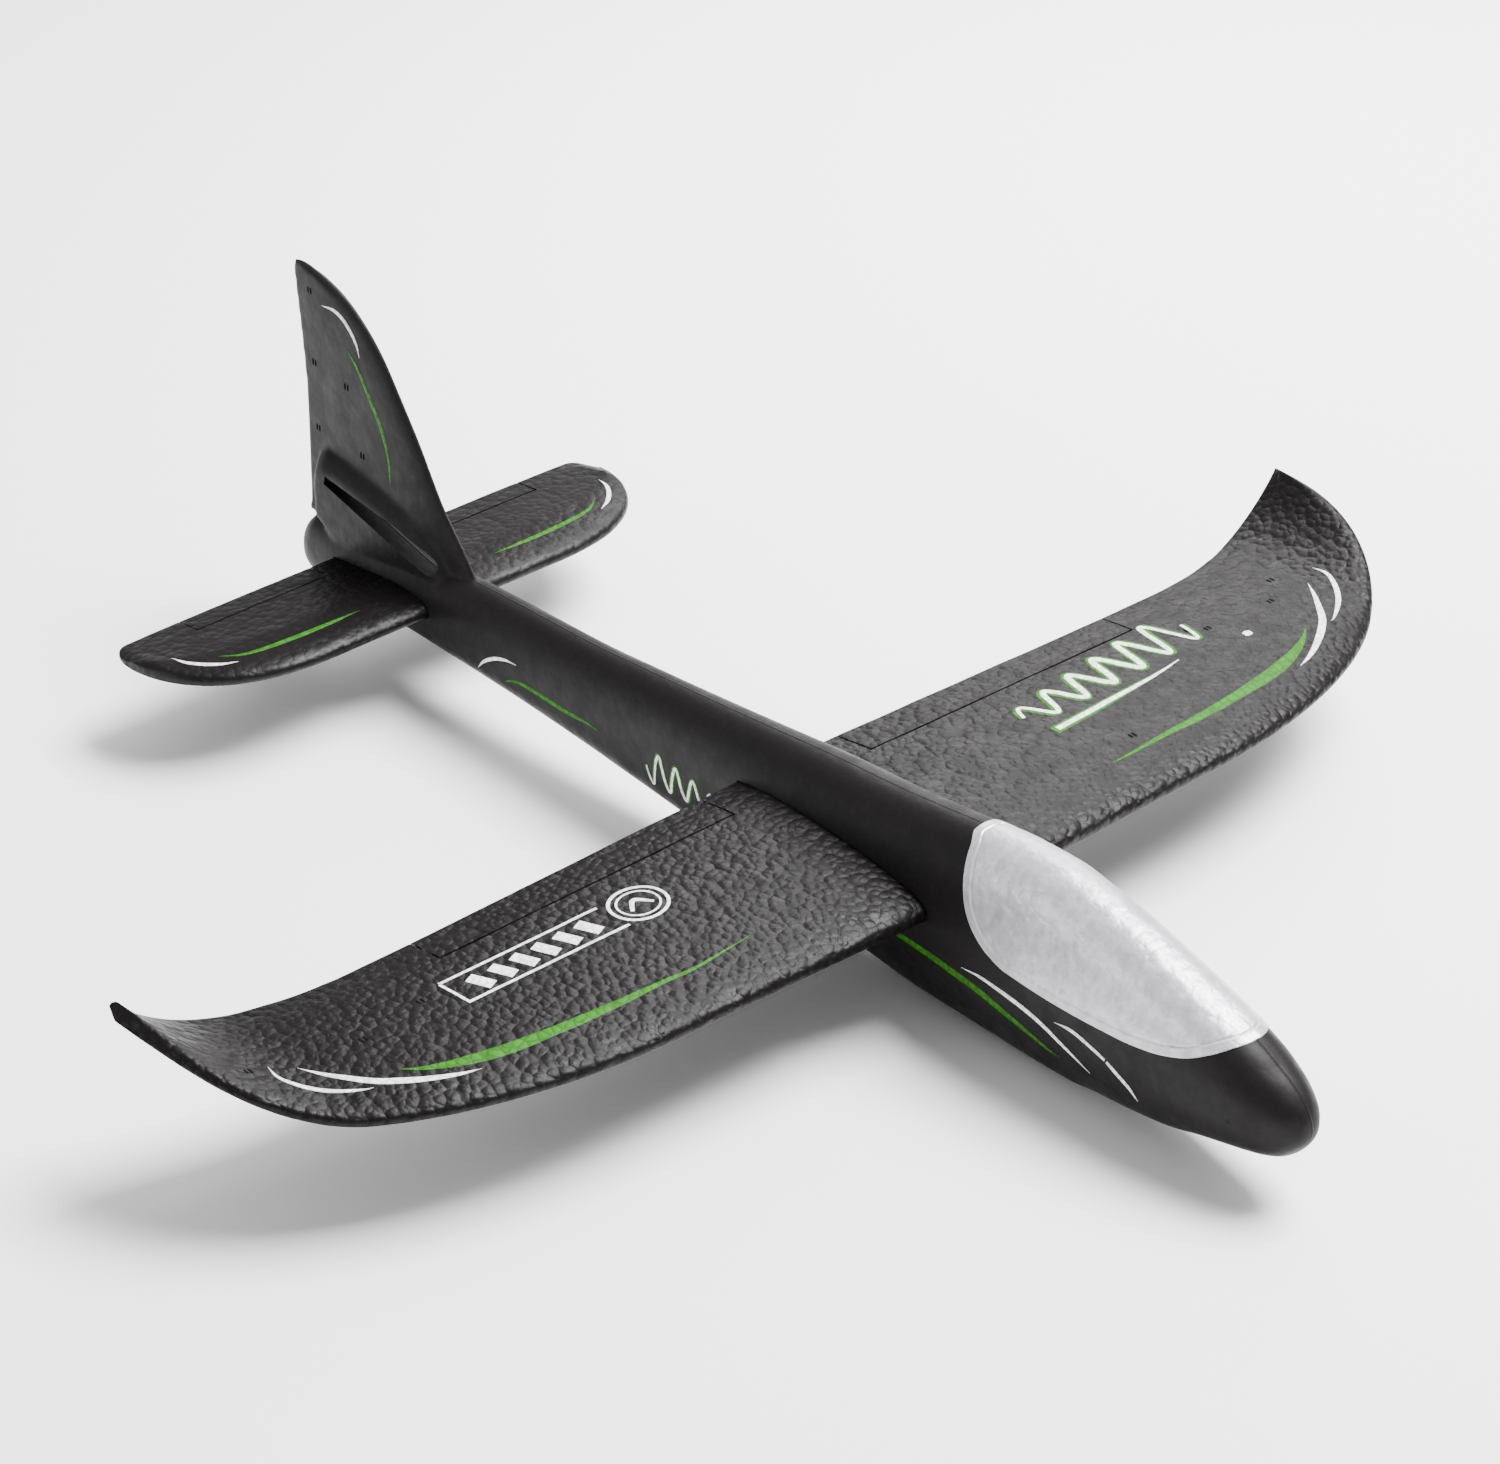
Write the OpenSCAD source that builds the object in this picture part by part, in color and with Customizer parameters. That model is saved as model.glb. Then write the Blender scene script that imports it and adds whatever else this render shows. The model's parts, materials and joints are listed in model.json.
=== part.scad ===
// Moulded foam hand-launch glider, in millimetres.
// +X is across the span, the nose points to -Y, +Z is up, and the belly's lowest point is at z = 0.

/* [Overall] */
// Wing span, tip to tip
span = 482; // [402:1:579]
// Length, nose to the back of the fin
length = 460; // [384:1:552]
// Widest part of the fuselage
body_width = 34; // [29:0.5:41]

/* [Wing] */
// Chord at the middle of the span
wing_chord = 89; // [75:0.5:105]
// Height of the section at the middle of the span
wing_depth = 11; // [9.2:0.1:13]
// Nose to the wing's leading edge
wing_station = 140.5; // [132:0.5:152]
// Height of the leading edge above the belly line
wing_height = 38.3; // [36.3:0.1:40.3]
// Width of each upturned tip
tip_width = 39; // [30:1:46]
// Radius that each tip turns up on
tip_radius = 53; // [48:1:64]
// Depth of the notch that locates the leading edge in the fuselage
notch_depth = 5; // [3:0.5:8]

/* [Ailerons] */
// Middle of the wing to the inner slit
aileron_start = 28; // [24:1:40]
// Tip to the outer slit, along the surface
aileron_inset = 102; // [90:1:115]
// Trailing edge at the middle of the span to the hinge line
aileron_chord = 16.5; // [12:0.5:20]

/* [Tailplane] */
// Tailplane span
tail_span = 199; // [166:1:238]
// Tailplane chord
tail_chord = 52; // [45:0.5:58]
// Tailplane height at its thickest
tail_depth = 7; // [5.8:0.1:8.4]
// Tail end to the tailplane's leading edge
tail_inset = 73.5; // [70:0.5:78]
// Height of the tailplane's leading edge above the belly line
tail_height = 33.5; // [32.5:0.1:34.5]
// Middle to the elevator's inner slit
elevator_start = 17.5; // [15:0.5:24]
// Tip to the elevator's outer slit
elevator_inset = 27.5; // [24:0.5:34]
// Elevator chord
elevator_chord = 10.5; // [8:0.5:13]

/* [Fin] */
// Height of the fin's tip above the belly line
fin_height = 131.8; // [112:0.2:150]
// Thickness of the fin
fin_thickness = 5.6; // [4:0.1:7]
// Thickness of the raised lips around the upper slot
boss_thickness = 12.6; // [11:0.2:15]
// Tilt of the upper slot
stunt_angle = 13.5; // [10:0.1:16]

/* [Hinges and fits] */
// Width of the slits at the ends of each moving surface
slit = 0.8; // [0.6:0.1:1.5]
// Depth of each hinge crease
crease_depth = 0.9; // [0.7:0.1:1.2]
// Clear gap at the bottom of a crease
crease_gap = 0.3; // [0.2:0.05:0.5]
// Gap between a wing or tailplane and its slot
slot_gap = 0.2; // [0.1:0.05:0.4]

/* [Ballast and canopy] */
// Diameter of the nose weight
ballast_d = 9; // [6:0.5:11]
// Length of the nose weight
ballast_length = 16; // [10:0.5:20]
// Nose to the nose weight's centre
ballast_station = 40; // [36:0.5:58]
// Thickness of the canopy film
film = 0.35; // [0.2:0.05:0.6]

/* [Hidden] */

$fn = 48;
nose_y = -length / 2;
fin_overhang = 3;                   // how far the fin's tip reaches behind the fuselage
tail_y = length / 2 - fin_overhang;
foam = [0.16, 0.155, 0.15];

// Fuselage sections: distance from the nose, top, bottom, half width as a share of the widest.
// The boom between boom_front and boom_rear takes up any change of length.
design_length = 457;
boom_front = 247;
boom_rear = 366;
sections = [
    [0, 28.2, 27, 0.03], [0.8, 31.2, 24.2, 0.2], [2.2, 33.8, 21.6, 0.31], [4.2, 36.1, 19, 0.43],
    [8.5, 39.5, 15.9, 0.58], [14, 42.6, 14.1, 0.71], [21.5, 46.6, 12.4, 0.81], [35, 51.8, 9.4, 0.91],
    [47, 55.8, 6, 0.95], [63, 60.8, 3.4, 0.98], [77, 64.4, 2, 1], [89, 67, 0.3, 1], [103, 69.1, 0, 1],
    [117, 68.9, 0.1, 0.99], [133, 67.5, 0.3, 0.97], [152, 65.2, 0.6, 0.96], [172, 63.1, 2.3, 0.94],
    [202, 60.8, 5.4, 0.88], [227, 58.2, 8, 0.8], [247, 56.2, 10, 0.74], [282, 53.1, 12.7, 0.65],
    [315, 50.6, 14.9, 0.59], [348, 49.5, 16.6, 0.56], [366, 48.6, 17.2, 0.56], [396, 45.8, 17.8, 0.52],
    [424, 43.1, 17.2, 0.45], [441, 42.3, 16.6, 0.43], [449.5, 41, 17.4, 0.4],
    [454.3, 37.4, 19.2, 0.32], [456.4, 33, 22.2, 0.21], [457, 27.8, 26.3, 0.06]];
roundness = 2.2;          // exponent of the fuselage's superellipse sections
ring_points = 36;

// Monotone interpolation of column col of a table that is sorted by its first column.
function slope(t, i, col) = (t[i + 1][col] - t[i][col]) / (t[i + 1][0] - t[i][0]);
function knot_slope(t, i, col) =
    i == 0 ? slope(t, 0, col) :
    i == len(t) - 1 ? slope(t, i - 1, col) :
    let (a = slope(t, i - 1, col), b = slope(t, i, col)) a * b <= 0 ? 0 : 2 * a * b / (a + b);
function interval(t, x, i = 0) = i >= len(t) - 2 || x < t[i + 1][0] ? i : interval(t, x, i + 1);
function curve(t, x, col = 1) =
    let (i = interval(t, x), h = t[i + 1][0] - t[i][0], u = (x - t[i][0]) / h)
    t[i][col] * (1 + 2 * u) * (1 - u) * (1 - u) + knot_slope(t, i, col) * h * u * (1 - u) * (1 - u)
    + t[i + 1][col] * u * u * (3 - 2 * u) + knot_slope(t, i + 1, col) * h * u * u * (u - 1);

// Closed solid through a list of rings that all have the same number of points.
module loft(rings) {
    n = len(rings[0]);
    last = (len(rings) - 1) * n;
    polyhedron(
        points = [for (r = rings) each r],
        faces = concat(
            [[for (i = [n - 1:-1:0]) i]],
            [[for (i = [0:n - 1]) last + i]],
            [for (j = [0:len(rings) - 2], i = [0:n - 1])
                let (a = j * n + i, b = j * n + (i + 1) % n) each [[a, b, a + n], [b, b + n, a + n]]]));
}

// Fuselage ---------------------------------------------------------------------------------

function body_y(s) =
    s <= boom_front ? nose_y + s :
    s >= boom_rear ? tail_y - design_length + s :
    let (y0 = nose_y + boom_front, y1 = tail_y - design_length + boom_rear)
    y0 + (y1 - y0) * (s - boom_front) / (boom_rear - boom_front);
function power(x, e) = sign(x) * pow(abs(x), e);
function body_top(s) = curve(sections, s, 1);
function body_bottom(s) = curve(sections, s, 2);
function body_half(s) = curve(sections, s, 3) * body_width / 2;
// Point on the fuselage's skin at angle a, pushed out by grow
function skin_point(s, a, grow = 0) =
    let (zc = (body_top(s) + body_bottom(s)) / 2, zh = (body_top(s) - body_bottom(s)) / 2 + grow)
    [(body_half(s) + grow) * power(cos(a), 2 / roundness), body_y(s), zc + zh * power(sin(a), 2 / roundness)];
function substeps(i) = i < 6 || i > len(sections) - 5 ? 1 : 2;
body_stations = concat(
    [for (i = [0:len(sections) - 2], k = [0:substeps(i) - 1])
        sections[i][0] + (sections[i + 1][0] - sections[i][0]) * k / substeps(i)],
    [sections[len(sections) - 1][0]]);

module body_shell() {
    loft([for (s = body_stations) [for (i = [0:ring_points - 1]) skin_point(s, 360 * i / ring_points)]]);
}

// Fin: height, distance of its leading and trailing edges from the tail end, share of thickness
fin_rows = [
    [0, 92, 2, 1], [12, 84.5, 2, 1], [28, 71.3, 2, 1], [46, 60, 1.6, 0.95], [60, 50.2, 0.4, 0.9],
    [72, 41, -1, 0.82], [80, 32.3, -2.1, 0.76], [85.5, 23.4, -2.7, 0.7], [88.5, 15, -3, 0.6],
    [90, 8.5, -3, 0.5], [91, 2, -2, 0.35]];
fin_base = 40.8;
fin_design = 131.8;
fin_scale = (fin_height - fin_base) / (fin_design - fin_base);
function fin_le(h) = tail_y - curve(fin_rows, h, 1);
function fin_te(h) = tail_y - curve(fin_rows, h, 2);
// Half thickness along the chord: round nose, flat middle, 1.4 mm trailing edge
fin_shape = [[0, 0.18], [0.03, 0.52], [0.1, 0.82], [0.25, 1], [0.6, 0.9], [1, 0.42]];
fin_marks = [0, 0.012, 0.04, 0.1, 0.22, 0.42, 0.65, 0.85, 1];
function fin_ring(h) =
    let (y0 = fin_le(h), y1 = fin_te(h), t = fin_thickness / 2 * curve(fin_rows, h, 3), z = fin_base + h * fin_scale,
         side = [for (c = fin_marks) [-t * curve(fin_shape, c), y0 + (y1 - y0) * c, z]])
    concat(side, [for (i = [len(side) - 1:-1:0]) [-side[i][0], side[i][1], side[i][2]]]);
fin_heights = [0, 6, 12, 20, 28, 37, 46, 53, 60, 66, 72, 76, 80, 83, 85.5, 87, 88.5, 89.3, 90, 90.6, 91];

module fin() {
    loft([for (h = fin_heights) fin_ring(h)]);
}

// Raised lips round the upper slot: distance from the tail end, height
boss_outline = [
    [9.2, 42.8], [8.6, 60], [9.8, 65.5], [13.6, 67.6], [24, 67.6], [40, 65.6], [54, 62.4], [64, 58.6], [72, 53.4],
    [77, 48], [80, 42], [74, 35], [36, 31]];
module boss_layer(inset, thickness) {
    rotate([90, 0, 90])
        translate([0, 0, -thickness / 2])
            linear_extrude(thickness)
                offset(delta = -inset)
                    polygon([for (p = boss_outline) [tail_y - p[0], p[1]]]);
}
module boss() {
    boss_layer(0, boss_thickness - 4.4);
    boss_layer(0.9, boss_thickness - 2);
    boss_layer(2.2, boss_thickness);
}

// Wing section -------------------------------------------------------------------------------

// Heights above the leading edge, by the square root of the share of chord
wing_top = [[0, 0], [0.09, 1.9], [0.173, 3.3], [0.31, 5.1], [0.48, 6.7], [0.64, 7.7], [0.76, 8], [0.894, 7.4], [1, 4.9]];
wing_bottom = [[0, 0], [0.06, -1.4], [0.13, -2.5], [0.27, -3.6], [0.43, -3.5], [0.595, -2.4], [0.76, -0.8],
               [0.894, 1], [1, 2.4]];
wing_design_depth = 11;
wing_marks = [0.06, 0.12, 0.19, 0.27, 0.36, 0.46, 0.56, 0.66, 0.76, 0.85, 0.93, 1];
// Section outline as [share of chord, height], round the nose and back
wing_outline = concat(
    [for (i = [len(wing_marks) - 1:-1:0]) let (u = wing_marks[i]) [u * u, curve(wing_bottom, u)]],
    [[0, 0]],
    [for (u = wing_marks) [u * u, curve(wing_top, u)]]);

// Spanwise: s runs along the surface from the middle of the wing to the tip.
tip_turn = asin(tip_width / tip_radius);
tip_start = span / 2 - tip_width;
tip_end = tip_start + tip_radius * tip_turn * PI / 180;
le_sweep = 2.5;                     // sweep of the straight part of the leading edge
le_curve = tip_end - 146;           // where the leading edge starts to curve back
tip_back = 94.5;                    // how far the tip lies behind the root's leading edge
te_sweep = 2.5;                     // how far the trailing edge comes forward along the ailerons
// How far the trailing edge goes back again towards the tip, by distance from the tip
te_back = [[-75, 0], [-62, 1.1], [-47, 4.3], [-32, 8.6], [-17, 11.9], [0, 14.3]];
tip_exponent = 2.2;
depth_rows = [[0, 1], [0.6, 0.74], [0.82, 0.64], [1, 0.42]];
wing_y = nose_y + wing_station;
function wing_le(s) =
    wing_y + le_sweep * min(s, le_curve) / le_curve
    + (s <= le_curve ? 0 : (tip_back - le_sweep)
        * (1 - pow(max(0, 1 - pow((s - le_curve) / (tip_end - le_curve), tip_exponent)), 1 / tip_exponent)));
function wing_te(s) =
    wing_y + wing_chord - te_sweep * min(s, tip_end - aileron_inset) / (tip_end - aileron_inset)
    + (s < tip_end + te_back[0][0] ? 0 : curve(te_back, s - tip_end));
function wing_share(s) = curve(depth_rows, s / tip_end) * wing_depth / wing_design_depth;
// A point of the wing: s along the surface, y, height h normal to the surface
function wing_point(s, y, h) =
    let (turn = max(0, s - tip_start) / tip_radius * 180 / PI, x = min(s, tip_start) + tip_radius * sin(turn))
    [x - h * sin(turn), y, wing_height + tip_radius * (1 - cos(turn)) + h * cos(turn)];
function wing_ring(s) =
    let (y0 = wing_le(s), y1 = wing_te(s), k = wing_share(s))
    [for (p = wing_outline) wing_point(s, y0 + (y1 - y0) * p[0], p[1] * k)];
inner_marks = [0.16, 0.3, 0.5, 0.7, 0.87];
tip_steps = 18;
half_stations = concat(
    [for (m = inner_marks) m * le_curve],
    [for (k = [0:tip_steps]) le_curve + (tip_end - le_curve) * sin(90 * k / tip_steps)]);
function flip(ring) = [for (p = ring) [-p[0], p[1], p[2]]];
wing_rings = concat(
    [for (i = [len(half_stations) - 1:-1:0]) flip(wing_ring(half_stations[i]))],
    [for (s = half_stations) wing_ring(s)]);

module wing_blank() {
    loft(wing_rings);
}

// The wing's section at the root, grown by gap, as the slot it slides through
module wing_slot(gap) {
    inner = inner_marks[0] * le_curve;
    rotate([90, 0, 90])
        translate([0, 0, -body_width])
            linear_extrude(2 * body_width)
                offset(delta = gap)
                    intersection() {
                        polygon([for (p = wing_ring(inner)) [p[1], p[2]]]);
                        translate([wing_y + notch_depth, 0]) square([2 * wing_chord, 2 * wing_height]);
                    }
}
module leading_notch() {
    half = body_half(wing_station) + slot_gap;
    translate([-half, wing_y - 1, 0])
        cube([2 * half, notch_depth + 1, 2 * wing_height]);
}

// Hinges ---------------------------------------------------------------------------------------

// The hinge line runs along local +X at the bottom of a crease in the top skin. Below it the
// moving surface is cut back, so that it can swing down.
crease_angle = 14;
relief_angle = 28;
reach = 30;
module fixed_side(length) {
    rotate([90, 0, 90])
        linear_extrude(length)
            polygon([[reach, -reach], [-crease_gap / 2, -reach], [-crease_gap / 2, 0],
                     [-crease_gap / 2 - crease_depth * tan(crease_angle), crease_depth],
                     [-crease_gap / 2 - crease_depth * tan(crease_angle), reach], [reach, reach]]);
}
module moving_side(length) {
    rotate([90, 0, 90])
        linear_extrude(length)
            polygon([[reach, -reach], [crease_gap / 2 + reach * tan(relief_angle), -reach], [crease_gap / 2, 0],
                     [crease_gap / 2 + crease_depth * tan(crease_angle), crease_depth],
                     [crease_gap / 2 + crease_depth * tan(crease_angle), reach], [reach, reach]]);
}

// Ailerons: the hinge line follows the top skin from the inner slit to the outer one
hinge_y = wing_y + wing_chord - aileron_chord;
aileron_end = tip_end - aileron_inset;
function wing_top_z(s) =
    let (c = (hinge_y - wing_le(s)) / (wing_te(s) - wing_le(s)))
    wing_height + curve(wing_top, sqrt(c)) * wing_share(s);
hinge_in_z = wing_top_z(aileron_start) - crease_depth;
hinge_out_z = wing_top_z(aileron_end) - crease_depth;
hinge_drop = atan((hinge_in_z - hinge_out_z) / (aileron_end - aileron_start));
aileron_length = (aileron_end - aileron_start) / cos(hinge_drop);
module aileron_place(along = 0) {
    translate([aileron_start, hinge_y, hinge_in_z])
        rotate([0, hinge_drop, 0])
            translate([along, 0, 0])
                children();
}
module aileron_hollow() {
    aileron_place() fixed_side(aileron_length);
}
module aileron_shape() {
    intersection() {
        wing_blank();
        aileron_place(slit) moving_side(aileron_length - 2 * slit);
    }
}

// Tailplane -------------------------------------------------------------------------------------

// Heights above the leading edge, by the square root of the share of chord
tail_top = [[0, 0], [0.1, 1.3], [0.2, 2.4], [0.34, 3.2], [0.5, 3.55], [0.6, 3.4], [0.74, 2.1], [0.9, 0.2], [1, -1.2]];
tail_bottom = [[0, 0], [0.1, -1.3], [0.2, -2.4], [0.33, -3.1], [0.5, -3.4], [1, -3.4]];
tail_design_depth = 7;
tail_floor = -3.2;
tail_marks = [0.08, 0.17, 0.27, 0.38, 0.5, 0.62, 0.76, 0.9, 1];
tail_outline = concat(
    [for (i = [len(tail_marks) - 1:-1:0]) let (u = tail_marks[i]) [u * u, curve(tail_bottom, u)]],
    [[0, 0]],
    [for (u = tail_marks) [u * u, curve(tail_top, u)]]);
tail_half = tail_span / 2;
tail_le_y = tail_y - tail_inset;
tail_te_y = tail_le_y + tail_chord;
tip_line = tail_te_y - 10.5;        // where the tip's outline reaches furthest out
tail_curve = 51;                    // length of the tip that curves back
corner = 7;                         // rounding of the rear corner
function quarter(u) = pow(max(0, 1 - pow(max(0, u), 2.25)), 1 / 2.25);
function tail_le(x) = tip_line - (tip_line - tail_le_y) * quarter((x - tail_half + tail_curve) / tail_curve);
function tail_te(x) = tip_line + (tail_te_y - tip_line) * quarter((x - tail_half + corner) / corner);
tip_thinning = 0.35;                // the tip thins from the top, so that it can pass through its own slot
function tail_share(x) = 1 - tip_thinning * pow(max(0, (x - tail_half + tail_curve) / tail_curve), 2);
function tail_ring(x) =
    let (y0 = tail_le(x), y1 = tail_te(x), k = tail_share(x), te_k = y1 - y0 < tail_chord / 3 ? 0.6 : 1)
    [for (p = tail_outline)
        [x, y0 + (y1 - y0) * p[0],
         tail_height + (tail_floor + (p[1] - tail_floor) * k * te_k) * tail_depth / tail_design_depth]];
tail_stations = concat(
    [elevator_start / 2, elevator_start + 10],
    [for (k = [0:12]) tail_half - tail_curve + (tail_curve - 0.25) * sin(90 * k / 12)]);
tail_rings = concat(
    [for (i = [len(tail_stations) - 1:-1:0]) flip(tail_ring(tail_stations[i]))],
    [for (x = tail_stations) tail_ring(x)]);

module tail_blank() {
    loft(tail_rings);
}
module tail_section(gap) {
    rotate([90, 0, 90])
        translate([0, 0, -body_width])
            linear_extrude(2 * body_width)
                offset(delta = gap)
                    polygon([for (p = tail_ring(0)) [p[1], p[2]]]);
}
// The empty upper slot takes the same tailplane, nose down, for stunt flying
stunt_rise = 27.7;                  // how far it lies above the lower slot, at the rear
stunt_back = 5;
stunt_ease = 1.1;                   // its chord, as a share of the tailplane's
module stunt_slot() {
    translate([0, tail_te_y + stunt_back, tail_height - tail_depth / 2 + stunt_rise])
        rotate([stunt_angle, 0, 0])
            scale([1, stunt_ease, 1])
                translate([0, -tail_te_y, tail_depth / 2 - tail_height])
                    tail_section(slot_gap + 0.3);
}

elevator_y = tail_te_y - elevator_chord;
elevator_end = tail_half - elevator_inset;
elevator_z = tail_height - crease_depth
    + curve(tail_top, sqrt((elevator_y - tail_le_y) / tail_chord)) * tail_depth / tail_design_depth;
module elevator_hollow() {
    translate([elevator_start, elevator_y, elevator_z]) fixed_side(elevator_end - elevator_start);
}
module elevator_shape() {
    intersection() {
        tail_blank();
        translate([elevator_start + slit, elevator_y, elevator_z])
            moving_side(elevator_end - elevator_start - 2 * slit);
    }
}

// Canopy film: its lower edge in side view, by distance from the nose
canopy_edge = [
    [21.8, 48], [25, 46.8], [30, 44], [38, 40.2], [49, 37.3], [62, 35.8], [87, 35.2], [107, 36], [115, 38.4],
    [121, 42.4], [125.5, 47.8], [128.5, 54.3], [130.6, 60.8], [132, 64.6], [134.4, 66.6]];
canopy_front = canopy_edge[0][0];
canopy_rear = canopy_edge[len(canopy_edge) - 1][0];
canopy_steps = 26;
bite = 0.05;                        // how far the film's adhesive sinks into the foam
function canopy_angle(s) =
    let (zc = (body_top(s) + body_bottom(s)) / 2, zh = (body_top(s) - body_bottom(s)) / 2)
    asin(pow(max(0.001, min(0.995, (curve(canopy_edge, s) - zc) / zh)), roundness / 2));
function canopy_ring(s) =
    let (a = canopy_angle(s), step = (180 - 2 * a) / canopy_steps)
    concat(
        [for (i = [0:canopy_steps]) skin_point(s, a + i * step, film)],
        [for (i = [canopy_steps:-1:0]) skin_point(s, a + i * step, -bite)]);
canopy_marks = [0, 0.01, 0.03, 0.06, 0.1, 0.16, 0.24, 0.33, 0.43, 0.53, 0.63, 0.72, 0.79, 0.85, 0.895, 0.93, 0.955,
                0.975, 0.99, 1];

// Ballast: a steel slug in a bore under the canopy film
ballast_y = nose_y + ballast_station;
ballast_floor = 21;
ballast_play = 0.1;

// Nodes ------------------------------------------------------------------------------------------

module fuselage() {
    color(foam)
        difference() {
            union() {
                body_shell();
                fin();
                boss();
            }
            wing_slot(slot_gap);
            tail_section(slot_gap);
            stunt_slot();
            translate([0, ballast_y, ballast_floor])
                cylinder(d = ballast_d + 2 * ballast_play, h = fin_height);
        }
}
module wing() {
    color(foam)
        difference() {
            wing_blank();
            leading_notch();
            aileron_hollow();
            mirror([1, 0, 0]) aileron_hollow();
        }
}
module aileron_left() {
    color(foam) aileron_shape();
}
module aileron_right() {
    color(foam) mirror([1, 0, 0]) aileron_shape();
}
module tailplane() {
    color(foam)
        difference() {
            tail_blank();
            elevator_hollow();
            mirror([1, 0, 0]) elevator_hollow();
        }
}
module elevator_left() {
    color(foam) elevator_shape();
}
module elevator_right() {
    color(foam) mirror([1, 0, 0]) elevator_shape();
}
module canopy_film() {
    color([0.75, 0.75, 0.77])
        loft([for (m = canopy_marks) canopy_ring(canopy_front + (canopy_rear - canopy_front) * m)]);
}
module nose_weight() {
    color([0.5, 0.5, 0.52])
        translate([0, ballast_y, ballast_floor + ballast_play])
            cylinder(d = ballast_d, h = ballast_length);
}

fuselage();
wing();
aileron_left();
aileron_right();
tailplane();
elevator_left();
elevator_right();
canopy_film();
nose_weight();
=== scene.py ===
import json
import math

import bmesh
import bpy
import numpy as np
from mathutils import Matrix, Vector


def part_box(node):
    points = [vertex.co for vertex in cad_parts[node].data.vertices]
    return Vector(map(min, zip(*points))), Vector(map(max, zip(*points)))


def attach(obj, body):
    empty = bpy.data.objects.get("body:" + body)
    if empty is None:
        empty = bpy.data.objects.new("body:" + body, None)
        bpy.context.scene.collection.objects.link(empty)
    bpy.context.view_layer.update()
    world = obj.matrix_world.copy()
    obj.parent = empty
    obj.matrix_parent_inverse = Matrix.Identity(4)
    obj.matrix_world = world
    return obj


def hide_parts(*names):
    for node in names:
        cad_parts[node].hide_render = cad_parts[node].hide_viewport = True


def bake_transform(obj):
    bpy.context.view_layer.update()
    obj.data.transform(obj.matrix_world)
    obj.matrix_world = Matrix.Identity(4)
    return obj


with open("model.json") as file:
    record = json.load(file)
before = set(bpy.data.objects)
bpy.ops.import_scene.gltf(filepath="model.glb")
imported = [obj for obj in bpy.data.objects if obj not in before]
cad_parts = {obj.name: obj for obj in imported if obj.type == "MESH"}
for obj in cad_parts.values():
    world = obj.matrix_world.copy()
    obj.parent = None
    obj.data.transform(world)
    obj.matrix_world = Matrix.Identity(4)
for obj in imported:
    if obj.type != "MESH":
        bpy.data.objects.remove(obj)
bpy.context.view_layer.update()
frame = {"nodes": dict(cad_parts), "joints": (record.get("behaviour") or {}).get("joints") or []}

MM = 0.001
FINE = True
SHARP = 32               # degrees between faces that still shade as one
MIRROR = np.array([-1, 1, 1])

# ---- Sizes, in millimetres, in the row frame. Places come from the CAD nodes' boxes.
body_lo, body_hi = (np.array(v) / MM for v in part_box("fuselage"))
tail_lo, tail_hi = (np.array(v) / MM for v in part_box("tailplane"))
JOINTS = {j["name"]: j for j in frame["joints"]}

NOSE_Y = body_lo[1]
TAIL_Y = body_hi[1] - 3.0
BODY_HALF = body_hi[0]
SPAN = 482.0
TIP_WIDTH, TIP_RADIUS = 39.0, 53.0
WING_PLACE = 140.5       # from the nose to the leading edge at the root
WING_CHORD, WING_HEIGHT, WING_Y = 89.0, 38.3, NOSE_Y + WING_PLACE
TIP_START = SPAN / 2 - TIP_WIDTH
TIP_END = TIP_START + TIP_RADIUS * math.asin(TIP_WIDTH / TIP_RADIUS)
LE_CURVE = TIP_END - 146
ROOT_RUN = 0.16 * LE_CURVE   # the section is constant this far out
LE_SWEEP, LE_RUN, LE_POWER, TE_SWEEP = 2.5, 92.0, 2.2, 2.5
NOTCH = 5                # depth of the leading-edge notch
TIP_ROUND, EDGE_SHARE = 14, 0.4
AILERON_START, AILERON_END = 28.0, TIP_END - 102
SLIT, CREASE_DEPTH, CREASE_GAP = 0.8, 0.9, 0.3
CREASE_RUN = CREASE_DEPTH * math.tan(math.radians(14))
RELIEF = math.tan(math.radians(28))
aileron_pin = np.array(JOINTS["aileron_left_hinge"]["pos_m"]) / MM
aileron_axis = np.array(JOINTS["aileron_left_hinge"]["axis"])
elevator_pin = np.array(JOINTS["elevator_left_hinge"]["pos_m"]) / MM
HINGE_Y = aileron_pin[1]
ELEVATOR_Y, ELEVATOR_Z = elevator_pin[1], elevator_pin[2]
TAIL_HALF = 99.5
TAIL_LE, TAIL_TE, TAIL_HEIGHT = tail_lo[1], tail_hi[1], tail_lo[2] + 3.4
ELEVATOR_START, ELEVATOR_END = elevator_pin[0], TAIL_HALF - 27.5
STUNT_ANGLE, STUNT_RISE, STUNT_BACK, STUNT_EASE = 13.5, 27.7, 5.0, 1.1
SLOT_GAP = 0.2
FIN_BASE = 40.8

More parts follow.
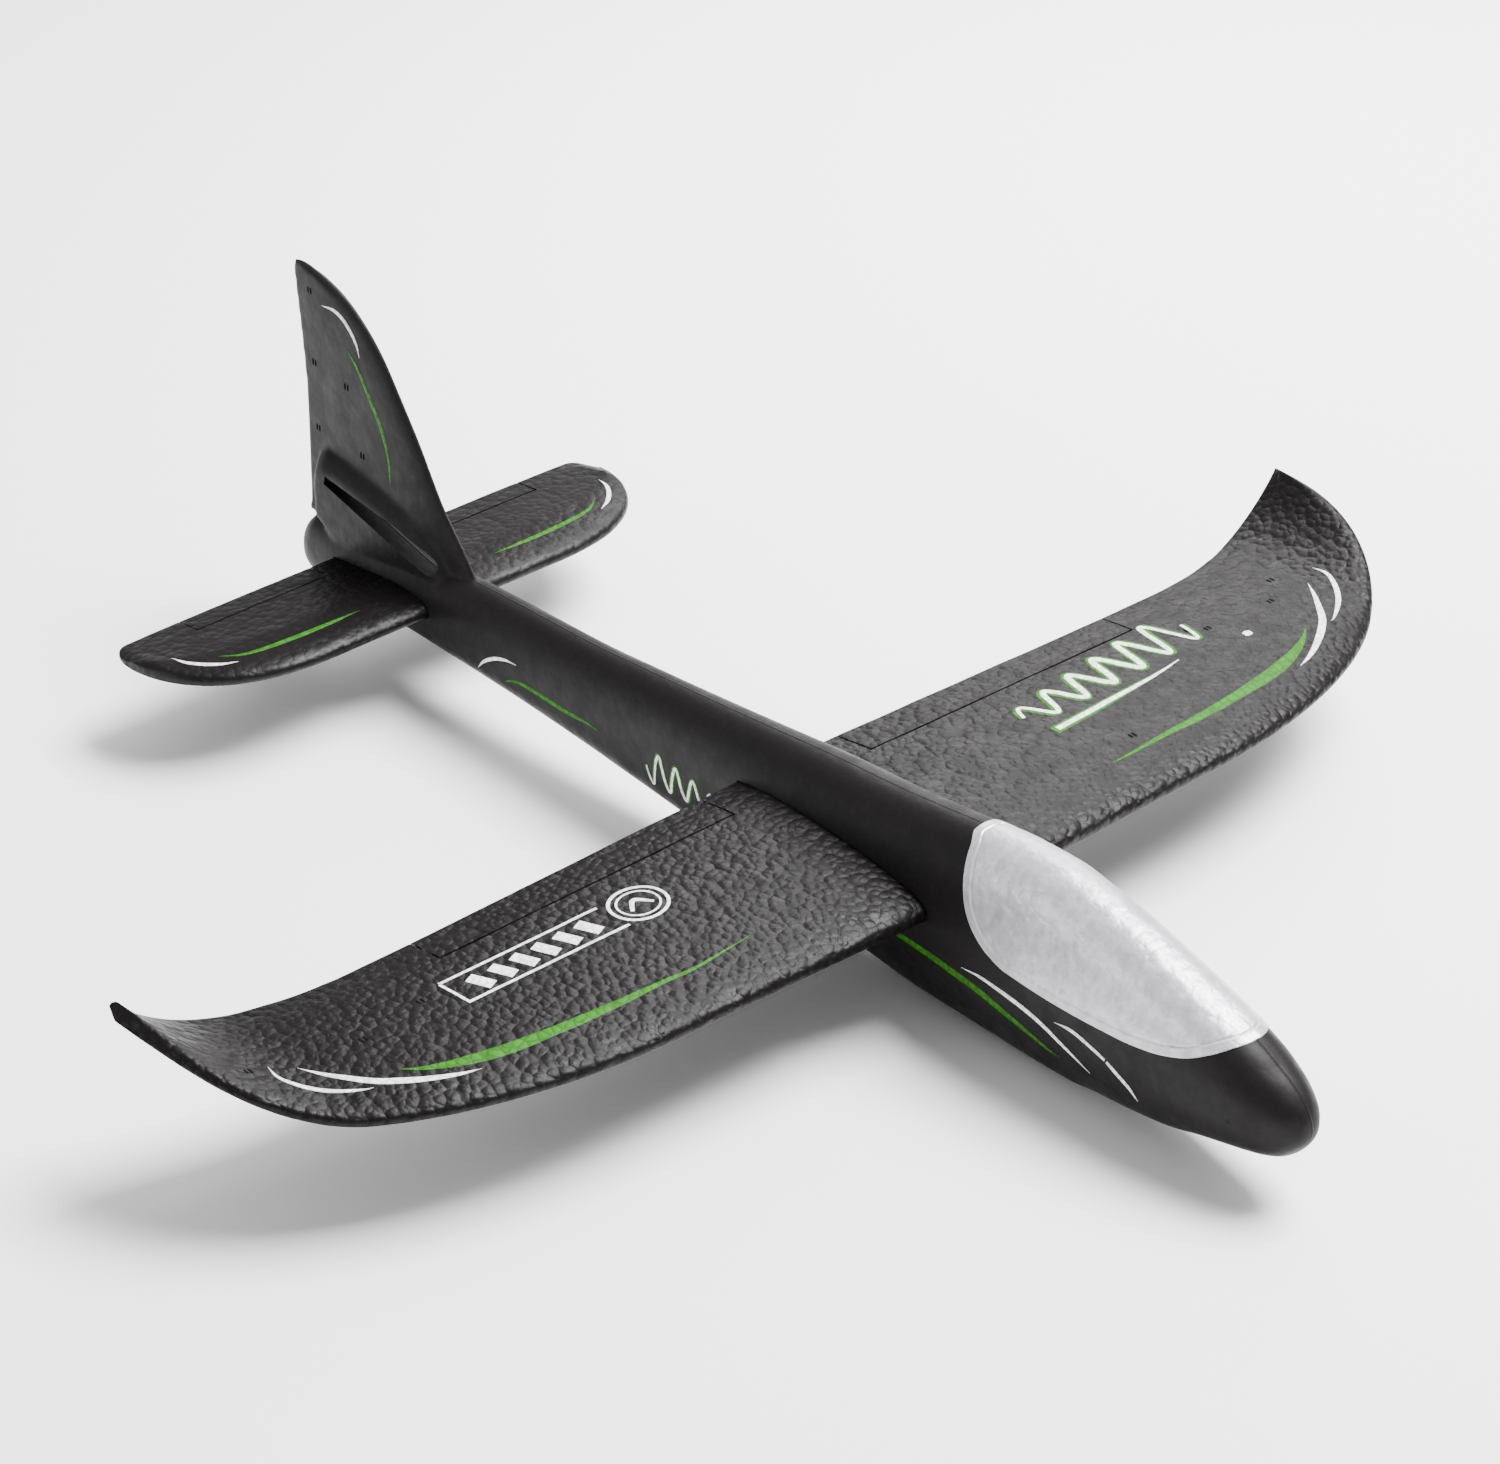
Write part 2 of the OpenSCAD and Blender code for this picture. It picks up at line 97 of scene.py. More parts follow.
SECTIONS = np.array([
    [0, 28.2, 27, 0.03], [0.8, 31.2, 24.2, 0.2], [2.2, 33.8, 21.6, 0.31], [4.2, 36.1, 19, 0.43],
    [8.5, 39.5, 15.9, 0.58], [14, 42.6, 14.1, 0.71], [21.5, 46.6, 12.4, 0.81], [35, 51.8, 9.4, 0.91],
    [47, 55.8, 6, 0.95], [63, 60.8, 3.4, 0.98], [77, 64.4, 2, 1], [89, 67, 0.3, 1], [103, 69.1, 0, 1],
    [117, 68.9, 0.1, 0.99], [133, 67.5, 0.3, 0.97], [152, 65.2, 0.6, 0.96], [172, 63.1, 2.3, 0.94],
    [202, 60.8, 5.4, 0.88], [227, 58.2, 8, 0.8], [247, 56.2, 10, 0.74], [282, 53.1, 12.7, 0.65],
    [315, 50.6, 14.9, 0.59], [348, 49.5, 16.6, 0.56], [366, 48.6, 17.2, 0.56], [396, 45.8, 17.8, 0.52],
    [424, 43.1, 17.2, 0.45], [441, 42.3, 16.6, 0.43], [449.5, 41, 17.4, 0.4],
    [454.3, 37.4, 19.2, 0.32], [456.4, 33, 22.2, 0.21], [457, 27.8, 26.3, 0.06]])
ROUNDNESS = 2.2
FIN_ROWS = np.array([
    [0, 92, 2, 1], [12, 84.5, 2, 1], [28, 71.3, 2, 1], [46, 60, 1.6, 0.95], [60, 50.2, 0.4, 0.9],
    [72, 41, -1, 0.82], [80, 32.3, -2.1, 0.76], [85.5, 23.4, -2.7, 0.7], [88.5, 15, -3, 0.6],
    [90, 8.5, -3, 0.5], [91, 2, -2, 0.35]])
FIN_SHAPE = np.array([[0, 0.18], [0.03, 0.52], [0.1, 0.82], [0.25, 1], [0.6, 0.9], [1, 0.42]])
FIN_HALF = 2.8
BODY_LENGTH, FIN_HEIGHT = SECTIONS[-1, 0], FIN_ROWS[-1, 0]
NOSE_RUN, TAIL_RUN, FIN_ROUND = 16, 21, 7    # lengths of the rounded ends
WING_TOP = np.array([[0, 0], [0.09, 1.9], [0.173, 3.3], [0.31, 5.1], [0.48, 6.7], [0.64, 7.7],
                     [0.76, 8], [0.894, 7.4], [1, 4.9]])
WING_BOTTOM = np.array([[0, 0], [0.06, -1.4], [0.13, -2.5], [0.27, -3.6], [0.43, -3.5], [0.595, -2.4],
                        [0.76, -0.8], [0.894, 1], [1, 2.4]])
WING_DEPTH = np.array([[0, 1], [0.6, 0.74], [0.82, 0.64], [1, 0.42]])
TE_BACK = np.array([[-75, 0], [-62, 1.1], [-47, 4.3], [-32, 8.6], [-17, 11.9], [0, 14.3]])
TAIL_TOP = np.array([[0, 0], [0.1, 1.3], [0.2, 2.4], [0.34, 3.2], [0.5, 3.55], [0.6, 3.4],
                     [0.74, 2.1], [0.9, 0.2], [1, -1.2]])
TAIL_BOTTOM = np.array([[0, 0], [0.1, -1.3], [0.2, -2.4], [0.33, -3.1], [0.5, -3.4], [1, -3.4]])
CANOPY_EDGE = np.array([
    [21.8, 48], [25, 46.8], [30, 44], [38, 40.2], [49, 37.3], [62, 35.8], [87, 35.2], [107, 36],
    [115, 38.4], [121, 42.4], [125.5, 47.8], [128.5, 54.3], [130.6, 60.8], [132, 64.6], [134.4, 66.6]])


def curve(table, x, col=1):
    """Monotone Hermite interpolation of a table sorted by its first column."""
    xs, ys = table[:, 0], table[:, col]
    x = np.asarray(x, float)
    d = np.diff(ys) / np.diff(xs)
    a, b = d[:-1], d[1:]
    safe = np.where(np.abs(a + b) < 1e-12, 1, a + b)
    m = np.concatenate([[d[0]], np.where(a * b <= 0, 0, 2 * a * b / safe), [d[-1]]])
    i = np.clip(np.searchsorted(xs, x, side="right") - 1, 0, len(xs) - 2)
    h = xs[i + 1] - xs[i]
    u = (x - xs[i]) / h
    return (ys[i] * (1 + 2 * u) * (1 - u) ** 2 + m[i] * h * u * (1 - u) ** 2
            + ys[i + 1] * u * u * (3 - 2 * u) + m[i + 1] * h * u * u * (u - 1))


def power(v, e):
    return np.sign(v) * np.abs(v) ** e


# ---- Mesh helpers
def link(name, mesh):
    obj = bpy.data.objects.new(name, mesh)
    bpy.context.scene.collection.objects.link(obj)
    return obj


def shade(mesh, sharp):
    mesh.shade_smooth()
    mesh.set_sharp_from_angle(angle=math.radians(sharp))
    mesh.update()


def finish_mesh(mesh, sharp):
    bm = bmesh.new()
    bm.from_mesh(mesh)
    bmesh.ops.remove_doubles(bm, verts=bm.verts, dist=1e-7)
    bmesh.ops.recalc_face_normals(bm, faces=bm.faces)
    if bm.calc_volume(signed=True) < 0:
        bmesh.ops.reverse_faces(bm, faces=bm.faces)
    bm.to_mesh(mesh)
    bm.free()
    shade(mesh, sharp)


def loft(name, rings, sharp=SHARP):
    """A closed solid through rings of equal length, in millimetres."""
    rings = np.asarray(rings, float)
    count, n = rings.shape[:2]
    j, i = np.meshgrid(np.arange(count - 1), np.arange(n), indexing="ij")
    a, b = j * n + i, j * n + (i + 1) % n
    quads = np.stack([a, b, b + n, a + n], -1).reshape(-1, 4).tolist()
    caps = [list(range(n))[::-1], list(range((count - 1) * n, count * n))]
    mesh = bpy.data.meshes.new(name)
    mesh.from_pydata((rings.reshape(-1, 3) * MM).tolist(), [], quads + caps)
    finish_mesh(mesh, sharp)
    return link(name, mesh)


def apply_modifiers(obj):
    dg = bpy.context.evaluated_depsgraph_get()
    mesh = bpy.data.meshes.new_from_object(obj.evaluated_get(dg))
    obj.modifiers.clear()
    old = obj.data
    obj.data = mesh
    bpy.data.meshes.remove(old)
    shade(mesh, SHARP)


def cut(obj, cutters):
    for c in cutters:
        mod = obj.modifiers.new("cut", "BOOLEAN")
        mod.operation, mod.object, mod.solver = "DIFFERENCE", c, "MANIFOLD"
    apply_modifiers(obj)
    for c in cutters:
        bpy.data.objects.remove(c)


def join(name, objs):
    bm = bmesh.new()
    for o in objs:
        bm.from_mesh(o.data)
        bpy.data.objects.remove(o)
    mesh = bpy.data.meshes.new(name)
    bm.to_mesh(mesh)
    bm.free()
    mesh.shade_smooth()
    return link(name, mesh)


def spaced(a, b, step):
    return np.linspace(a, b, max(2, int(round(abs(b - a) / step)) + 1))


def noise3(p, scale, seed):
    """Smooth value noise of points in millimetres, about -1 to 1."""
    rng = np.random.default_rng(seed)
    table = rng.uniform(-1, 1, 4096)
    q = p / scale + 100
    i = np.floor(q).astype(int)
    f = q - i
    f = f * f * (3 - 2 * f)
    out = 0
    for dx in (0, 1):
        for dy in (0, 1):
            for dz in (0, 1):
                key = ((i[..., 0] + dx) * 73 + (i[..., 1] + dy) * 179 + (i[..., 2] + dz) * 283) % 4096
                w = (np.where(dx, f[..., 0], 1 - f[..., 0]) * np.where(dy, f[..., 1], 1 - f[..., 1])
                     * np.where(dz, f[..., 2], 1 - f[..., 2]))
                out = out + w * table[key]
    return out


# Slow unevenness of each moulding: height and length of each wave, and a seed
WAVES = {"wing": (((0.10, 16), (0.05, 5)), 10), "tail": (((0.06, 12), (0.04, 4)), 20),
         "body": (((0.06, 20), (0.02, 5)), 30)}


def waves(points, part):
    amounts, seed = WAVES[part]
    return sum(amp * noise3(points, scale, seed + k) for k, (amp, scale) in enumerate(amounts))


# ---- Wing
def wing_le(s):
    tip = np.clip((s - LE_CURVE) / (TIP_END - LE_CURVE), 0, 1)
    return (WING_Y + LE_SWEEP * np.minimum(s, LE_CURVE) / LE_CURVE
            + LE_RUN * (1 - np.maximum(0, 1 - tip ** LE_POWER) ** (1 / LE_POWER)))


def wing_te(s):
    start = TE_BACK[0, 0]
    return (WING_Y + WING_CHORD - TE_SWEEP * np.minimum(s, AILERON_END) / AILERON_END
            + np.where(s < TIP_END + start, 0, curve(TE_BACK, np.maximum(s - TIP_END, start))))


def wing_share(s):
    return curve(WING_DEPTH, s / TIP_END)


def wing_point(s, y, h, side=1):
    turn = np.maximum(0, s - TIP_START) / TIP_RADIUS
    x = np.minimum(s, TIP_START) + TIP_RADIUS * np.sin(turn) - h * np.sin(turn)
    z = WING_HEIGHT + TIP_RADIUS * (1 - np.cos(turn)) + h * np.cos(turn)
    return np.stack(np.broadcast_arrays(side * x, y, z), -1)


def aileron_hinge_z(x):
    return aileron_pin[2] + (x - aileron_pin[0]) * aileron_axis[2] / aileron_axis[0]


WING_FORE, WING_AFT, WING_STEP = (70, 15, 1.3) if FINE else (36, 9, 4)


def aft_end(thickness):
    """Rounding of a trailing edge: its radius, and steps back and in from the corner."""
    r = EDGE_SHARE * thickness
    a = np.radians([25, 55, 88])
    return r, r * (1 - np.sin(a)), r * (1 - np.cos(a))


def wing_section(s, cut_back):
    s = max(s, ROOT_RUN)
    y0, y1, k = wing_le(s), wing_te(s), wing_share(s)
    chord = y1 - y0
    at = min(s, AILERON_END)
    y0a, y1a = wing_le(at), wing_te(at)
    ct = (HINGE_Y - CREASE_GAP / 2 - CREASE_RUN - y0a) / (y1a - y0a)
    cb = (HINGE_Y - CREASE_GAP / 2 - y0a) / (y1a - y0a)
    t = np.linspace(0, 1, WING_FORE) ** 1.5
    top = [(y0 + chord * c, curve(WING_TOP, math.sqrt(c)) * k) for c in ct * t]
    bottom = [(y0 + chord * c, curve(WING_BOTTOM, math.sqrt(c)) * k) for c in (cb * t)[1:][::-1]]
    if cut_back:
        hinge = aileron_hinge_z(s) - WING_HEIGHT
        low = bottom[0][1]
        yw = HINGE_Y - CREASE_GAP / 2
        mid = (hinge + low) / 2
        aft_top = [(top[-1][0] + CREASE_RUN / 2, top[-1][1] - (top[-1][1] - hinge) / 2)]
        aft_top += [(yw, z) for z in np.linspace(hinge, mid + 0.05, WING_AFT - 1)]
        aft_bottom = [(yw, z) for z in np.linspace(mid, low, WING_AFT + 1)[:-1]]
    else:
        th, bh = curve(WING_TOP, 1.0) * k, curve(WING_BOTTOM, 1.0) * k
        r, back, inn = aft_end(th - bh)
        c = np.linspace(ct, 1 - r / chord, WING_AFT - 2)[1:]
        aft_top = [(y0 + chord * v, curve(WING_TOP, math.sqrt(v)) * k) for v in c]
        aft_top += [(y1 - b, aft_top[-1][1] - i) for b, i in zip(back, inn)]
        c = np.linspace(cb, 1 - r / chord, WING_AFT - 2)[1:]
        aft_bottom = [(y0 + chord * v, curve(WING_BOTTOM, math.sqrt(v)) * k) for v in c]
        aft_bottom += [(y1 - b, aft_bottom[-1][1] + i) for b, i in zip(back, inn)]
        aft_bottom = aft_bottom[::-1]
    return np.array(aft_bottom + bottom + top + aft_top)


def wing_stations():
    tip = TIP_END - TIP_ROUND * (1 - np.sin(np.linspace(0, math.pi / 2, 15 if FINE else 8)))
    return ([(s, False) for s in spaced(0, AILERON_START, WING_STEP)]
            + [(s, True) for s in spaced(AILERON_START, AILERON_END, WING_STEP)]
            + [(s, False) for s in spaced(AILERON_END, TIP_END - TIP_ROUND, WING_STEP)[:-1]]
            + [(s, False) for s in tip])


def make_wing():
    half = []
    for s, cut_back in wing_stations():
        sec = wing_section(s, cut_back)
        half.append(wing_point(s, sec[:, 0], sec[:, 1]))
    half = np.array(half)
    other = half[1:][::-1] * MIRROR
    obj = loft("wing_skin", np.concatenate([other, half]))
    hw = BODY_HALF * float(curve(SECTIONS, WING_PLACE, 3)) + SLOT_GAP
    under, over = 20, 60     # heights well clear of the wing
    cut(obj, [box_cutter((-hw, WING_Y - 1, under), (hw, WING_Y + NOTCH, over))])
    return obj


def box_cutter(lo, hi):
    bm = bmesh.new()
    bmesh.ops.create_cube(bm, size=1)
    for v in bm.verts:
        v.co = Vector([(lo[k] + hi[k]) / 2 + v.co[k] * (hi[k] - lo[k]) for k in range(3)]) * MM
    mesh = bpy.data.meshes.new("cutter")
    bm.to_mesh(mesh)
    bm.free()
    return link("cutter", mesh)


def flap_section(y_edge, y_te, top, bottom, hinge, aft, down=9):
    """Outline of a moving surface: along the top, round the back, and up the relief."""
    th, bh = top(y_te), bottom(y_te)
    r, back, inn = aft_end(th - bh)
    y_top = y_edge + CREASE_RUN
    ys = np.linspace(y_top, y_te - r, aft)
    pts = [(y, top(y)) for y in ys]
    pts += [(y_te - b, pts[-1][1] - i) for b, i in zip(back, inn)]
    low = bottom(y_te - r)
    tail = [(y_te - b, low + i) for b, i in zip(back, inn)][::-1]
    yb = y_edge
    for _ in range(12):
        yb = y_edge + (hinge - bottom(yb)) * RELIEF
    pts += tail + [(y, bottom(y)) for y in np.linspace(y_te - r, yb, aft)]
    zs = np.linspace(bottom(yb), hinge, down)[1:]
    pts += [(y_edge + (hinge - z) * RELIEF, z) for z in zs]
    pts += [(y_edge + CREASE_RUN / 2, (hinge + top(y_top)) / 2)]
    return np.array(pts)


def make_aileron(side, name):
    rings = []
    for x in spaced(AILERON_START + SLIT, AILERON_END - SLIT, WING_STEP):
        y0, y1, k = wing_le(x), wing_te(x), wing_share(x)
        top = lambda y: WING_HEIGHT + float(curve(WING_TOP, math.sqrt((y - y0) / (y1 - y0)))) * k
        low = lambda y: WING_HEIGHT + float(curve(WING_BOTTOM, math.sqrt((y - y0) / (y1 - y0)))) * k
        sec = flap_section(HINGE_Y + CREASE_GAP / 2, y1, top, low, aileron_hinge_z(x), WING_AFT)
        rings.append(np.column_stack([np.full(len(sec), side * x), sec]))
    return loft(name, rings)


# ---- Tailplane
TAIL_CURVE, TAIL_CORNER, TIP_LINE = 51.0, 7.0, TAIL_TE - 10.5
TAIL_POWER, TAIL_FLOOR, TAIL_THIN = 2.25, 3.2, 0.35


def quarter(u):
    return np.maximum(0, 1 - np.maximum(0, u) ** TAIL_POWER) ** (1 / TAIL_POWER)


def tail_le(x):
    return TIP_LINE - (TIP_LINE - TAIL_LE) * quarter((x - TAIL_HALF + TAIL_CURVE) / TAIL_CURVE)


def tail_te(x):
    return TIP_LINE + (TAIL_TE - TIP_LINE) * quarter((x - TAIL_HALF + TAIL_CORNER) / TAIL_CORNER)


def tail_heights(x, c, table):
    """Height of the skin, thinner towards the tip and where the chord is short."""
    k = 1 - TAIL_THIN * max(0, (x - TAIL_HALF + TAIL_CURVE) / TAIL_CURVE) ** 2
    chord = tail_te(x) - tail_le(x)
    k *= 0.6 + 0.4 * min(1, max(0, chord / 22 - 0.25))
    return TAIL_HEIGHT - TAIL_FLOOR + (curve(table, np.sqrt(np.clip(c, 0, 1))) + TAIL_FLOOR) * k


TAIL_FORE, TAIL_AFT, TAIL_STEP = (48, 12, 1.2) if FINE else (24, 8, 3.5)
TAIL_ROUND = 9


def tail_section(x, cut_back):
    y0, y1 = float(tail_le(x)), float(tail_te(x))
    chord = y1 - y0
    at = min(x, ELEVATOR_END)
    y0a, y1a = float(tail_le(at)), float(tail_te(at))
    ct = (ELEVATOR_Y - CREASE_GAP / 2 - CREASE_RUN - y0a) / (y1a - y0a)
    cb = (ELEVATOR_Y - CREASE_GAP / 2 - y0a) / (y1a - y0a)
    t = np.linspace(0, 1, TAIL_FORE) ** 1.5
    top = [(y0 + chord * c, float(tail_heights(x, c, TAIL_TOP))) for c in ct * t]
    bottom = [(y0 + chord * c, float(tail_heights(x, c, TAIL_BOTTOM))) for c in (cb * t)[1:][::-1]]
    if cut_back:
        low = bottom[0][1]
        yw = ELEVATOR_Y - CREASE_GAP / 2
        mid = (ELEVATOR_Z + low) / 2
        aft_top = [(top[-1][0] + CREASE_RUN / 2, (top[-1][1] + ELEVATOR_Z) / 2)]
        aft_top += [(yw, z) for z in np.linspace(ELEVATOR_Z, mid + 0.05, TAIL_AFT - 1)]
        aft_bottom = [(yw, z) for z in np.linspace(mid, low, TAIL_AFT + 1)[:-1]]
    else:
        th, bh = float(tail_heights(x, 1, TAIL_TOP)), float(tail_heights(x, 1, TAIL_BOTTOM))
        r, back, inn = aft_end(th - bh)
        r_share = min(0.3, r / max(chord, 0.1))
        c = np.linspace(ct, 1 - r_share, TAIL_AFT - 2)[1:]
        aft_top = [(y0 + chord * v, float(tail_heights(x, v, TAIL_TOP))) for v in c]
        aft_top += [(y1 - min(b, 0.2 * chord), aft_top[-1][1] - i) for b, i in zip(back, inn)]
        c = np.linspace(cb, 1 - r_share, TAIL_AFT - 2)[1:]
        aft_bottom = [(y0 + chord * v, float(tail_heights(x, v, TAIL_BOTTOM))) for v in c]
        aft_bottom += [(y1 - min(b, 0.2 * chord), aft_bottom[-1][1] + i) for b, i in zip(back, inn)]
        aft_bottom = aft_bottom[::-1]
    return np.array(aft_bottom + bottom + top + aft_top)


def make_tailplane():
    tip = TAIL_HALF - TAIL_ROUND * (1 - np.sin(np.linspace(0, math.pi / 2, 16 if FINE else 9)))
    tip[-1] = TAIL_HALF - 0.25
    stations = ([(x, False) for x in spaced(0, ELEVATOR_START, TAIL_STEP)]
                + [(x, True) for x in spaced(ELEVATOR_START, ELEVATOR_END, TAIL_STEP)]
                + [(x, False) for x in spaced(ELEVATOR_END, TAIL_HALF - TAIL_ROUND, TAIL_STEP)[:-1]]
                + [(x, False) for x in tip])
    half = []
    for x, cut_back in stations:
        sec = tail_section(x, cut_back)
        half.append(np.column_stack([np.full(len(sec), x), sec]))
    half = np.array(half)
    return loft("tailplane_skin", np.concatenate([half[1:][::-1] * MIRROR, half]))


def make_elevator(side, name):
    rings = []
    for x in spaced(ELEVATOR_START + SLIT, ELEVATOR_END - SLIT, TAIL_STEP):
        y0, y1 = float(tail_le(x)), float(tail_te(x))
        top = lambda y: float(tail_heights(x, (y - y0) / (y1 - y0), TAIL_TOP))
        low = lambda y: float(tail_heights(x, (y - y0) / (y1 - y0), TAIL_BOTTOM))
        sec = flap_section(ELEVATOR_Y + CREASE_GAP / 2, y1, top, low, ELEVATOR_Z, TAIL_AFT, 6)
        rings.append(np.column_stack([np.full(len(sec), side * x), sec]))
    return loft(name, rings)


# ---- Fuselage, fin and slot lips
def skin(s, a, grow=0.0):
    """Point of the fuselage's skin at distance s from the nose and angle a in radians."""
    top, low, half = (curve(SECTIONS, s, c) for c in (1, 2, 3))
    zc, zh = (top + low) / 2, (top - low) / 2 + grow
    x = (half * BODY_HALF + grow) * power(np.cos(a), 2 / ROUNDNESS)
    return np.stack(np.broadcast_arrays(x, NOSE_Y + s, zc + zh * power(np.sin(a), 2 / ROUNDNESS)), -1)


def make_body():
    n = 120 if FINE else 64
    stations = np.concatenate([NOSE_RUN * (1 - np.cos(np.linspace(0, math.pi / 2, 26))),
                               spaced(NOSE_RUN, BODY_LENGTH - TAIL_RUN, 2.2 if FINE else 6)[1:-1],
                               BODY_LENGTH - TAIL_RUN * (1 - np.sin(np.linspace(0, math.pi / 2, 24)))])
    a = np.linspace(0, 2 * math.pi, n, endpoint=False)
    return loft("body", [skin(s, a) for s in stations])


def fin_half(y, z):
    """Half thickness of the fin at a point of its side view."""
    h = np.clip(z - FIN_BASE, 0, FIN_HEIGHT)
    le, te = TAIL_Y - curve(FIN_ROWS, h, 1), TAIL_Y - curve(FIN_ROWS, h, 2)
    c = np.clip((y - le) / (te - le), 0, 1)
    return FIN_HALF * curve(FIN_ROWS, h, 3) * curve(FIN_SHAPE, c)


def make_fin():
    marks = np.concatenate([np.linspace(0, 1, 14) ** 2 * 0.12, np.linspace(0.12, 1, 22)[1:]])
    rings = []
    plain = FIN_HEIGHT - FIN_ROUND
    cap = plain + FIN_ROUND * np.sin(np.linspace(0, math.pi / 2, 16))[1:]
    for h in np.concatenate([np.linspace(0, plain, 50), cap]):
        foot = max(0.0, 1 - h / 9) ** 2
        le = TAIL_Y - float(curve(FIN_ROWS, h, 1)) - 3.0 * foot
        te = TAIL_Y - float(curve(FIN_ROWS, h, 2))
        t = FIN_HALF * float(curve(FIN_ROWS, h, 3)) + 1.5 * foot
        side = np.array([[t * float(curve(FIN_SHAPE, c)), le + (te - le) * c, FIN_BASE + h] for c in marks])
        rings.append(np.concatenate([side, side[::-1] * MIRROR]))
    return loft("fin", rings)


BOSS = np.array([[9.2, 42.8], [8.6, 60], [9.8, 65.5], [13.6, 67.6], [24, 67.6], [40, 65.6], [54, 62.4],
                 [64, 58.6], [72, 53.4], [77, 48], [80, 42], [74, 35], [36, 31]])


def make_boss():
    """Raised lips round the upper slot: a plateau with a long slope above it."""
    rings = []
    levels = [(6.3, 1), (6.25, 0.94), (6.0, 0.84), (5.3, 0.62), (4.3, 0.36), (3.2, 0.12), (2.4, 0)]
    for x, t in [(-v, t) for v, t in levels] + [(v, t) for v, t in levels[::-1]]:
        pts = BOSS.copy()
        rise = np.clip((pts[:, 1] - 44) / 20, 0, 1)
        pts[:, 1] -= 6.6 * t * rise
        pts[:, 0] += np.where(pts[:, 0] < 15, 1.6, -5.0 * np.clip((pts[:, 0] - 40) / 35, 0, 1)) * t
        dense = []
        for i in range(len(pts)):
            a, b = pts[i], pts[(i + 1) % len(pts)]
            dense += [a + (b - a) * w for w in np.linspace(0, 1, 4, endpoint=False)]
        rings.append([[x, TAIL_Y - p[0], p[1]] for p in dense])
    return loft("boss", rings)


def offset_outline(pts, gap):
    nxt, prv = np.roll(pts, -1, 0), np.roll(pts, 1, 0)
    t = nxt - prv
    t /= np.linalg.norm(t, axis=1)[:, None]
    area = np.sum(pts[:, 0] * nxt[:, 1] - nxt[:, 0] * pts[:, 1])
    n = np.stack([t[:, 1], -t[:, 0]], -1) * np.sign(area)
    return pts + n * gap


def prism(outline, half=40):
    """Cutter: an outline in (y, z) run along X, past the fuselage on both sides."""
    rings = [np.column_stack([np.full(len(outline), x), outline]) for x in (-half, half)]
    return loft("cutter", rings)


def slot_cutters():
    u = np.concatenate([np.linspace(1, 0.1, 22), np.linspace(0.1, 0, 8)[1:]])
    k = wing_share(ROOT_RUN)
    y0, y1 = wing_le(ROOT_RUN), wing_te(ROOT_RUN)
    wing = np.array([[y0 + (y1 - y0) * v * v, WING_HEIGHT + curve(WING_BOTTOM, v) * k] for v in u]
                    + [[y0 + (y1 - y0) * v * v, WING_HEIGHT + curve(WING_TOP, v) * k] for v in u[::-1][1:]])
    wing = offset_outline(wing, SLOT_GAP)
    wing[:, 0] = np.maximum(wing[:, 0], WING_Y + NOTCH - SLOT_GAP)
    order = [0]
    for i in range(1, len(wing)):
        if np.linalg.norm(wing[i] - wing[order[-1]]) > 0.02:
            order.append(i)
    wing = wing[order]
    chord = TAIL_TE - TAIL_LE
    tail = np.array([[TAIL_LE + chord * v * v, TAIL_HEIGHT + curve(TAIL_BOTTOM, v)] for v in u]
                    + [[TAIL_LE + chord * v * v, TAIL_HEIGHT + curve(TAIL_TOP, v)] for v in u[::-1][1:]])
    lower = offset_outline(tail, SLOT_GAP)
    pivot = np.array([TAIL_TE, TAIL_HEIGHT - 3.5])
    upper = offset_outline(tail, SLOT_GAP + 0.3) - pivot
    upper[:, 0] *= STUNT_EASE
    a = math.radians(STUNT_ANGLE)
    turn = np.array([[math.cos(a), math.sin(a)], [-math.sin(a), math.cos(a)]])
    upper = upper @ turn + (pivot + np.array([STUNT_BACK, STUNT_RISE]))
    return [prism(outline) for outline in (wing, lower, upper)]


def make_fuselage():
    body = join("fuselage_skin", [make_body(), make_fin(), make_boss()])
    remesh = body.modifiers.new("remesh", "REMESH")
    remesh.mode, remesh.voxel_size = "VOXEL", (0.8 if FINE else 1.4) * MM
    smooth = body.modifiers.new("smooth", "SMOOTH")
    smooth.factor, smooth.iterations = 0.5, 8 if FINE else 3
    apply_modifiers(body)
    ballast_lo, ballast_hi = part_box("nose_weight")
    mid = (ballast_lo + ballast_hi) / 2
    a = np.linspace(0, 2 * math.pi, 48, endpoint=False)
    r = (ballast_hi.x - ballast_lo.x) / 2 / MM + 0.1
    bore = [np.column_stack([r * np.cos(a), mid.y / MM + r * np.sin(a), np.full(48, z)])
            for z in (ballast_lo.z / MM - 0.1, 90)]
    cut(body, slot_cutters() + [loft("cutter", bore)])
    return body


# ---- Surfaces that prints lie on: each takes (u, v) in millimetres and a lift
def on_wing(p, lift):
    """p is (x, y) on the wing's top skin."""
    side = 1 if p[:, 0].mean() > 0 else -1
    x, y = np.abs(p[:, 0]), p[:, 1]
    s = x.copy()
    for _ in range(4):
        c = np.clip((y - wing_le(s)) / (wing_te(s) - wing_le(s)), 0, 1)
        h = curve(WING_TOP, np.sqrt(c)) * wing_share(s) + lift
        turn = np.arcsin(np.clip((x - TIP_START) / (TIP_RADIUS - h), 0, 1))
        s = np.where(x > TIP_START, TIP_START + TIP_RADIUS * turn, x)
    return wing_point(s, y, h, side)


on_wing.part = "wing"


def on_tail(p, lift):
    side = 1 if p[:, 0].mean() > 0 else -1
    x, y = np.abs(p[:, 0]), p[:, 1]
    c = (y - tail_le(x)) / (tail_te(x) - tail_le(x))
    z = np.array([float(tail_heights(a, b, TAIL_TOP)) for a, b in zip(x, c)]) + lift
    return np.stack([side * x, y, z], -1)


